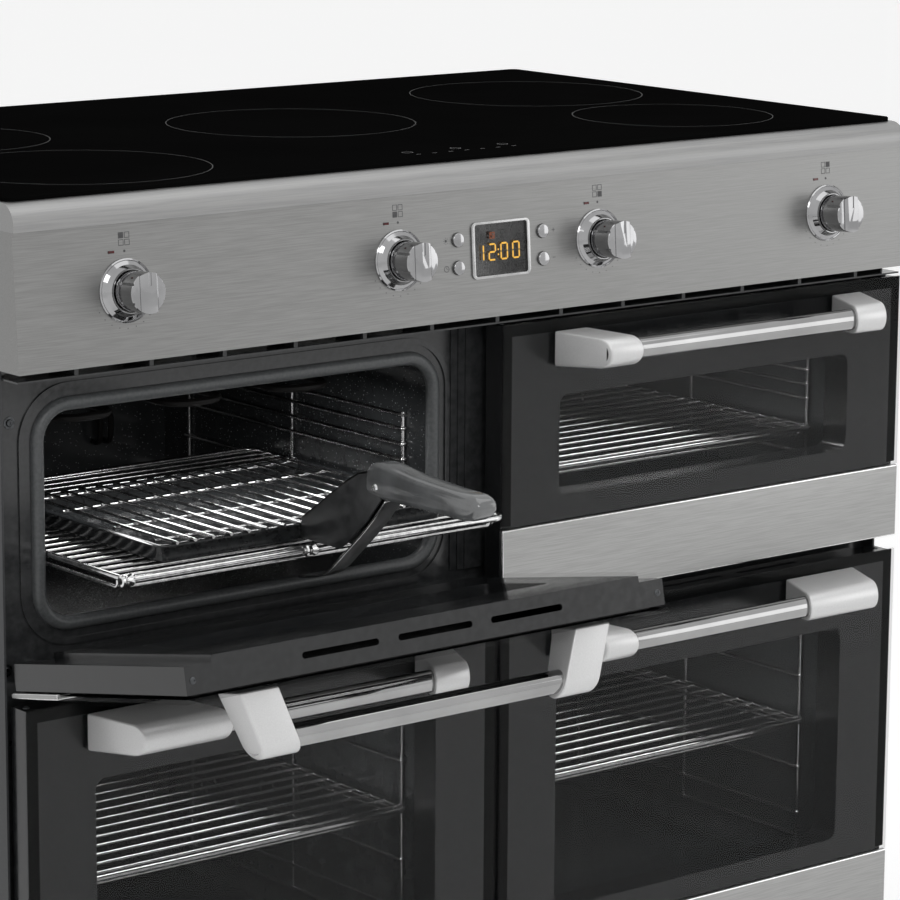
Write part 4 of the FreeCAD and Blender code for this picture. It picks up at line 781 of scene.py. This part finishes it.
# Side racks: each rail is one wire with its ends turned to the wall
rack_uprights = []
rack_rails = []
for name, x, z, height in DOORS:
    rails = UPPER_RAILS if "top" in name else LOWER_RAILS
    foot = z + OPENING_BOTTOM
    low = foot + RACK_FOOT_RISE
    high = foot + rails[-1] + RACK_TOP_RISE
    start = RACK_YS[0] - RACK_OVERHANG
    end = RACK_YS[-1] + RACK_OVERHANG
    for side in (-1, 1):
        wall = x + side * OPENING_HALF_WIDTH
        upright_x = wall - side * RACK_UPRIGHT_INSET
        rail_x = wall - side * RACK_RAIL_INSET
        for y in RACK_YS:
            rack_uprights.append([(upright_x, y, low - RACK_OVERHANG),
                                  (upright_x, y, high + RACK_OVERHANG)])
        for level in (low, high):
            rack_rails.append([(upright_x, start, level), (upright_x, end, level)])
        for rise in rails:
            level = foot + rise
            rack_rails.append([(upright_x, start, level + 0.4), (rail_x, start, level),
                               (rail_x, end, level), (upright_x, end, level + 0.4)])
racks = joined([wires(rack_uprights, RACK_RADIUS, 0.0), wires(rack_rails, RACK_RADIUS - 0.1, 1.0)])
finish_piece("rack_wires", racks, [wire_chrome], "cabinet", ["side_racks"], matrix=COOKER)

# Grid on the grill pan: thin bars front to back over cross bars below them
grid_z = RIM_Z + GRID_WIRE
grid_start = RIM_Y - 1.0
grid_end = grid_start + PAN_DEPTH
grid_bars = []
for index in range(GRID_BARS):
    bar_x = PAN_X + (index - (GRID_BARS - 1) / 2) * GRID_PITCH
    grid_bars.append([(bar_x, grid_start, grid_z), (bar_x, grid_end, grid_z)])
reach = (GRID_BARS - 1) / 2 * GRID_PITCH + 4.0
for share in GRID_CROSS_SHARES:
    y = grid_start + share * PAN_DEPTH
    cross_z = grid_z - 2 * GRID_WIRE + 0.3
    grid_bars.append([(PAN_X - reach, y, cross_z), (PAN_X + reach, y, cross_z)])
finish_piece("grid_wires", wires(grid_bars, GRID_WIRE, 0.0), [wire_chrome], "grill_shelf",
             ["pan_grid"], matrix=COOKER)

# Grill pan: pressed tray with softened edges
finish_piece("enamelled_pan", softened("grill_pan", EDGE, 2), [pan_enamel], "grill_shelf",
             ["grill_pan"])

# Pan handle: polished grip, pressed web on the rim and a sprung strap with bright cut edges
SIDE_VIEW = COOKER @ Matrix(((0, 0, 1, PAN_X), (-1, 0, 0, RIM_Y), (0, 1, 0, RIM_Z), (0, 0, 0, 1)))
grip = prism([(out * GRIP_REACH, up * GRIP_TOP) for out, up in GRIP_SHARES], -GRIP_WIDTH / 2,
             GRIP_WIDTH / 2)
grip = bevelled(grip, GRIP_EDGE, 6, 50)
finish_piece("pan_grip", grip, [grip_moulding], "pan_handle", ["pan_handle"], 50.0,
             SIDE_VIEW)
half = GRIP_WIDTH / 2 - 1.0
webs = []
for side in (-1, 1):
    middle = side * (half - WEB_SHEET / 2)
    webs.append(prism(WEB_OUTLINE, middle - WEB_SHEET / 2, middle + WEB_SHEET / 2))
fold = list(WEB_OUTLINE[1:7])
fold += [(out + 0.8, up - WEB_SHEET) for out, up in reversed(WEB_OUTLINE[1:7])]
webs.append(prism(fold, -half, half))
web = joined([bevelled(part, EDGE, 2, 40) for part in webs])
finish_piece("pan_handle_web", web, [pressed_enamel], "pan_handle", matrix=SIDE_VIEW)


def smooth_run(points, steps):
    """Points along a smooth curve through the given ones."""
    padded = [points[0]] + list(points) + [points[-1]]
    run = []
    for index in range(1, len(padded) - 2):
        before, here, after, beyond = (Vector(point) for point in padded[index - 1:index + 3])
        for step in range(steps):
            t = step / steps
            square = 2 * before - 5 * here + 4 * after - beyond
            cube = 3 * here - before - 3 * after + beyond
            run.append(0.5 * (2 * here + (after - before) * t + square * t ** 2 + cube * t ** 3))
    return run + [Vector(points[-1])]


spine = smooth_run([(out * GRIP_REACH, up * GRIP_TOP) for out, up in STRAP_SHARES], 8)
near_side = []
far_side = []
for index, point in enumerate(spine):
    ahead = (spine[min(index + 1, len(spine) - 1)] - spine[max(index - 1, 0)]).normalized()
    across = Vector((-ahead.y, ahead.x)) * STRAP_SHEET / 2
    near_side.append(tuple(point + across))
    far_side.append(tuple(point - across))
strap = prism(near_side + far_side[::-1], -STRAP_WIDTH / 2, STRAP_WIDTH / 2)
finish_piece("pan_handle_strap", bevelled(strap, STRAP_EDGE, 2, 50, 1), [pressed_enamel, bright_steel],
             "pan_handle", matrix=SIDE_VIEW)
rivet = moved(lathe(RIVET_PROFILE, 32), RIVET_SHARES[0] * GRIP_REACH, RIVET_SHARES[1] * GRIP_TOP, 0)
finish_piece("pan_handle_rivet", rivet, [bright_steel], "pan_handle", matrix=SIDE_VIEW)

# Spring clips that hold the pan on the shelf's front wire: two flared lobes with a waist
clips = []
for x in CLIP_XS:
    clip = lathe(CLIP_PROFILE, 32)
    on_wire = Matrix.Translation((x, SHELVES[0][2] + SHELF_WIRE, SHELVES[0][4]))
    clip.transform(on_wire @ Matrix.Rotation(math.radians(90), 4, "Y"))
    clips.append(clip)
finish_piece("shelf_clips", joined(clips), [bright_steel], "grill_shelf", matrix=COOKER)

# Knobs, buttons and their surround: the CAD forms with softened, polished edges
for index in range(1, 5):
    node = "oven_knob_%d" % index
    finish_piece("polished_knob_%d" % index, softened(node, EDGE), [chrome], node, [node])
    node = "clock_button_%d" % index
    finish_piece("polished_button_%d" % index, softened(node, EDGE), [chrome], node, [node])
finish_piece("clock_surround", softened("clock_case", CLOCK_EDGE), [clock_rim], "cabinet",
             ["clock_case"])

# Strip under each pane: brushed sheet with bright, rounded edges
for door in DOORS:
    node = "door_" + door[0] + "_strip"
    finish_piece("steel_strip_" + door[0], softened(node, STRIP_EDGE, 2, 40.0, 1),
                 [strip_steel, bright_steel], "door_" + door[0], [node])

# Printed border of each door's outer pane, behind the glass
for name, x, z, height in DOORS:
    pane_low = z + GLASS_BOTTOM + GLASS_EDGE
    pane_high = z + height - GLASS_EDGE
    window_low = z + WINDOW_BOTTOM
    window_high = z + height - WINDOW_TOP_DROP
    outer = rounded_outline(x, (pane_low + pane_high) / 2, DOOR_WIDTH - 2 * GLASS_EDGE,
                            pane_high - pane_low, 1.0)
    inner = rounded_outline(x, (window_low + window_high) / 2, WINDOW_WIDTH, window_high - window_low,
                            WINDOW_CORNER)
    border = ring_plate(outer, inner, 0.1, 0.3)
    upright = Matrix.Rotation(math.radians(-90), 4, "X") @ Matrix.Scale(-1, 4, (0, 1, 0))
    border.transform(Matrix.Translation((0, GLASS_BACK_Y, 0)) @ upright)
    finish_piece("pane_border_" + name, border, [pane_print], "door_" + name,
                 matrix=door_matrix(name, z))

# Screws: on the front plate beside the cavities and on the doors' top edges
screw_mesh = lathe(PLATE_SCREW, 24)
screw_mesh.transform(Matrix.Rotation(math.radians(90), 4, "X"))
screw_part = bpy.data.objects.new("screw_pattern", screw_mesh)
scene.collection.objects.link(screw_part)
screw_places = []
for name, x, z, height in DOORS:
    side = -1 if x < 0 else 1
    screw_places += [(x + side * PLATE_SCREW_HIGH[0], PLATE_FRONT_Y, z + height - PLATE_SCREW_HIGH[1]),
                     (x + side * PLATE_SCREW_LOW[0], PLATE_FRONT_Y, z + PLATE_SCREW_LOW[1])]
screws = grown(PARTS_ON_POINTS, {"Part": screw_part, "Material": black_screw}, screw_places)
bpy.data.objects.remove(screw_part)
finish_piece("front_plate_screws", screws, [black_screw], "cabinet", matrix=COOKER)
for name, x, z, height in DOORS:
    top = z + height - DOOR_TOP_DROP
    heads = [moved(lathe(DOOR_SCREW, 24), x + side * DOOR_TOP_SCREW_X, DOOR_TOP_SCREW_Y, top)
             for side in (-1, 1)]
    finish_piece("door_edge_screws_" + name, joined(heads), [black_screw], "door_" + name,
                 matrix=door_matrix(name, z))


# Door handles: two satin ends and a polished bar between them
def handle_end(x, axis_z, side, width):
    """Handle end: a deep nose in side view, leaning outwards as it leaves the door."""
    root = HANDLE_ROOT / 2
    out = HANDLE_REACH + HANDLE_NOSE
    outline = [(0.0, -root), (0.0, root)] + arc(HANDLE_REACH, 0.0, HANDLE_NOSE, 90, -90, 20)
    mesh = prism(outline, 0.0, width)
    outer = x + side * HANDLE_SPAN / 2
    for vertex in mesh.vertices:
        reach, rise, along = vertex.co
        lean = -side * HANDLE_LEAN * reach / out
        vertex.co = (outer - side * along + lean, DOOR_OUTER_Y - reach, axis_z + rise)
    work = bmesh.new()
    work.from_mesh(mesh)
    return bevelled(mesh_from(work), HANDLE_EDGE, 4, 50)


for name, x, z, height in DOORS:
    axis_z = z + height - HANDLE_DROP
    left = HANDLE_WIDE_BLOCK if name == "bottom_left" else HANDLE_BLOCK
    right = HANDLE_WIDE_BLOCK if name == "bottom_right" else HANDLE_BLOCK
    ends = joined([handle_end(x, axis_z, -1, left), handle_end(x, axis_z, 1, right)])
    body = "door_" + name
    matrix = door_matrix(name, z)
    finish_piece("handle_ends_" + name, ends, [satin_aluminium], body,
                 [body + "_handle"], matrix=matrix)
    half = HANDLE_SPAN / 2
    start = x - half + left - HANDLE_LEAN
    end = x + half - right + HANDLE_LEAN
    bar = disc(0, HANDLE_BAR_RADIUS, end - start, 64)
    axis = Matrix.Translation((start, DOOR_OUTER_Y - HANDLE_REACH, axis_z))
    along = matrix @ axis @ Matrix.Rotation(math.radians(90), 4, "Y")
    finish_piece("handle_bar_" + name, bar, [polished_steel], body, matrix=along)


# Printed marks round the dials
def frame_outline(x, y, width, height, line):
    """Four thin bars round a rectangle."""
    bars = [(x, y + (height - line) / 2, width, line), (x, y - (height - line) / 2, width, line),
            (x - (width - line) / 2, y, line, height - 2 * line),
            (x + (width - line) / 2, y, line, height - 2 * line)]
    return [printed_bar(*bar) for bar in bars]


marks = []
for x, filled in zip(KNOB_XS, FILLED_QUARTERS):
    cell = (ICON_SIZE - ICON_GAP) / 2
    step = (cell + ICON_GAP) / 2
    for across, up in ((-1, -1), (-1, 1), (1, -1), (1, 1)):
        centre = (x + across * step, ICON_RISE + up * step)
        if (across, up) == filled:
            marks.append(printed_bar(*centre, cell, cell))
        else:
            marks += frame_outline(*centre, cell, cell, ICON_LINE)
    dots = dot_ring(DIAL_DOTS, DIAL_RADIUS, 0.5, mark_ink, math.radians(-150), math.radians(120))
    marks.append(moved(dots, x, KNOB_RISE, INK / 2))
    marks.append(moved(disc(0, 1.1, INK, 20), x, KNOB_RISE + DIAL_TOP_DOT, 0))

# Signs beside the buttons: plus and minus on the right, sun and clock face on the left
sign_x = BUTTON_X + SYMBOL_OFFSET
high, low = BUTTON_RISES
for rise in BUTTON_RISES:
    marks.append(printed_bar(sign_x, rise, 3.4, 0.5))
for rise in (high + 0.98, high - 0.98):
    marks.append(printed_bar(sign_x, rise, 0.5, 1.45))
marks += [moved(disc(2.3, 2.8, INK, 32), -sign_x, low, 0),
          printed_bar(-sign_x, low + 0.8, 0.45, 1.6), printed_bar(-sign_x + 0.9, low, 1.4, 0.45)]
marks += [moved(disc(0, 1.2, INK, 20), -sign_x, high, 0),
          moved(dot_ring(9, 2.5, 0.35, mark_ink), -sign_x, high, INK / 2)]
finish_piece("dial_marks", joined(marks), [mark_ink], "cabinet", matrix=FASCIA_FACE)


# Clock display: seven-segment digits
def segment_outline(key):
    """Bar of one segment as centre and size, with the digit's centre at zero."""
    half_w = (DIGIT_WIDTH - DIGIT_STROKE) / 2
    half_h = (DIGIT_HEIGHT - DIGIT_STROKE) / 2
    long_w = DIGIT_WIDTH - DIGIT_STROKE - 2 * DIGIT_GAP
    long_h = half_h - DIGIT_GAP
    places = {"a": (0, half_h, long_w, 0), "g": (0, 0, long_w, 0), "d": (0, -half_h, long_w, 0),
              "b": (half_w, half_h / 2, 0, long_h), "c": (half_w, -half_h / 2, 0, long_h),
              "f": (-half_w, half_h / 2, 0, long_h), "e": (-half_w, -half_h / 2, 0, long_h)}
    return places[key]


digit_parts = []
digit_rise = CLOCK_RISE - DIGIT_DROP
bevel = DIGIT_STROKE / 2
for digit, offset in DIGITS:
    for key in SEGMENTS[digit]:
        x, y, width, height = segment_outline(key)
        if width:
            half = width / 2
            outline = ((-half, 0), (-half + bevel, -bevel), (half - bevel, -bevel), (half, 0),
                       (half - bevel, bevel), (-half + bevel, bevel))
        else:
            half = height / 2
            outline = ((0, -half), (bevel, -half + bevel), (bevel, half - bevel), (0, half),
                       (-bevel, half - bevel), (-bevel, -half + bevel))
        digit_parts.append(prism([(offset + x + u, digit_rise + y + v) for u, v in outline], 0, INK))
for rise in (-2.6, 1.8):
    digit_parts.append(printed_bar(-3.5, digit_rise + rise, 1.4, 1.4))
DISPLAY = FASCIA_FACE @ Matrix.Translation((0, 0, 1.15))
finish_piece("clock_digits", joined(digit_parts), [amber_light], "cabinet", matrix=DISPLAY)
icon = frame_outline(-10.0, CLOCK_RISE + 12.4, 6.0, 6.0, 1.2)
icon.append(prism(((-12.0, CLOCK_RISE + 13.6), (-11.2, CLOCK_RISE + 14.4), (-8.0, CLOCK_RISE + 11.2),
                   (-8.8, CLOCK_RISE + 10.4)), 0, INK))
finish_piece("clock_symbol", joined(icon), [dim_amber], "cabinet", matrix=DISPLAY)

# Hob print: dotted zone rings and touch marks
rings = []
for x, y, radius in ZONES:
    ring = dot_ring(int(2 * math.pi * radius / RING_PITCH), radius, RING_DOT, zone_ink)
    rings.append(moved(ring, x, y, HOB_Z + INK / 2))
for index in range(TOUCH_COUNT):
    x = TOUCH_PITCH * (index - (TOUCH_COUNT - 1) / 2)
    rings.append(prism(box_outline(x, TOUCH_BAR_Y, 5.0, 1.0), HOB_Z, HOB_Z + INK))
    if index % 3 == 0:
        rings.append(moved(disc(4.4, 5.0, INK, 32), x, TOUCH_RING_Y, HOB_Z))
finish_piece("hob_zone_print", joined(rings), [zone_ink], "cabinet", matrix=COOKER)


# Floor, light and camera
def seen_directly(tree):
    """1 for a ray that the camera, a mirror or a pane sends, 0 for the light that falls on things."""
    rays = add(tree, "ShaderNodeLightPath")
    seen = rays.outputs["Is Camera Ray"]
    for kind in ("Is Glossy Ray", "Is Transmission Ray"):
        seen = add(tree, "ShaderNodeMath", {0: seen, 1: rays.outputs[kind]},
                   operation="MAXIMUM").outputs[0]
    return seen


def studio_paper():
    """Matt white paper: plainly white to the eye and in mirrors, where the object's shadow leaves it."""
    material, tree = new_tree("paper_white_matt")
    vector = pattern_coordinates(tree, 30)
    noise = add(tree, "ShaderNodeTexNoise", {"Vector": vector, "Scale": 1.0, "Detail": 2.0})
    colour = add(tree, "ShaderNodeMix", {"Factor": noise.outputs[0], 6: linear("#f1f1f1"),
                                         7: linear("#f6f6f6")}, data_type="RGBA")
    lift = add(tree, "ShaderNodeMath", {0: seen_directly(tree), 1: FLOOR_LIFT}, operation="MULTIPLY")
    close(tree, {"Base Color": colour.outputs[2], "Roughness": 0.9, "Specular IOR Level": 0.1,
                 "Emission Color": linear("#ffffff"), "Emission Strength": lift.outputs[0]})
    return material


floor_mesh = bpy.data.meshes.new("floor")
floor_mesh.from_pydata([(-FLOOR_REACH, -FLOOR_REACH, 0), (FLOOR_REACH, -FLOOR_REACH, 0),
                        (FLOOR_REACH, FLOOR_REACH, 0), (-FLOOR_REACH, FLOOR_REACH, 0)], [],
                       [(0, 1, 2, 3)])
floor = bpy.data.objects.new("studio_floor", floor_mesh)
scene.collection.objects.link(floor)
floor_mesh.materials.append(studio_paper())

# World: white to the eye and in mirrors, dimmer as light on the cooker
world = bpy.data.worlds.new("studio")
world.use_nodes = True
tree = world.node_tree
tree.nodes.clear()
ambient = add(tree, "ShaderNodeBackground", {"Color": linear("#ffffff"), "Strength": ROOM_LIGHT})
shown = add(tree, "ShaderNodeBackground", {"Color": linear("#ffffff"), "Strength": 1.0})
mixed = add(tree, "ShaderNodeMixShader", {0: seen_directly(tree), 1: ambient.outputs[0],
                                          2: shown.outputs[0]})
add(tree, "ShaderNodeOutputWorld", {"Surface": mixed.outputs[0]})
scene.world = world


def area_lamp(name, location, target, size, power):
    data = bpy.data.lights.new(name, "AREA")
    data.shape = "RECTANGLE"
    data.size, data.size_y = size
    data.energy = power
    lamp = bpy.data.objects.new(name, data)
    lamp.location = location
    lamp.rotation_euler = (Vector(target) - Vector(location)).to_track_quat("-Z", "Y").to_euler()
    scene.collection.objects.link(lamp)


for soft_box in SOFT_BOXES:
    area_lamp(*soft_box)

# Oven lamps: a small strip of light under each cavity's roof, turned down so that the grill stays dark
for name, x, z, height in DOORS:
    lamp_z = z + height - OPENING_TOP_DROP - OVEN_LAMP_DROP
    area_lamp("oven_lamp_" + name, place(x, OVEN_LAMP_Y, lamp_z), place(x, OVEN_LAMP_Y, z),
              OVEN_LAMP_SIZE, OVEN_LAMP)

camera_data = bpy.data.cameras.new("photo_camera")
camera_data.lens = CAMERA_LENS
camera_data.sensor_width = 36.0
camera_data.clip_end = 60.0
camera = bpy.data.objects.new("photo_camera", camera_data)
scene.collection.objects.link(camera)
right = Vector((math.cos(CAMERA_HEADING), -math.sin(CAMERA_HEADING), 0))
level = Vector((math.sin(CAMERA_HEADING), math.cos(CAMERA_HEADING), 0))
ahead = level * math.cos(CAMERA_PITCH) - Vector((0, 0, math.sin(CAMERA_PITCH)))
upward = right.cross(ahead)
rolled_right = right * math.cos(CAMERA_ROLL) + upward * math.sin(CAMERA_ROLL)
rolled_up = upward * math.cos(CAMERA_ROLL) - right * math.sin(CAMERA_ROLL)
turn = Matrix((rolled_right, rolled_up, -ahead)).transposed().to_4x4()
camera.matrix_world = Matrix.Translation(CAMERA_PLACE) @ turn
scene.camera = camera
scene.view_settings.view_transform = "Standard"
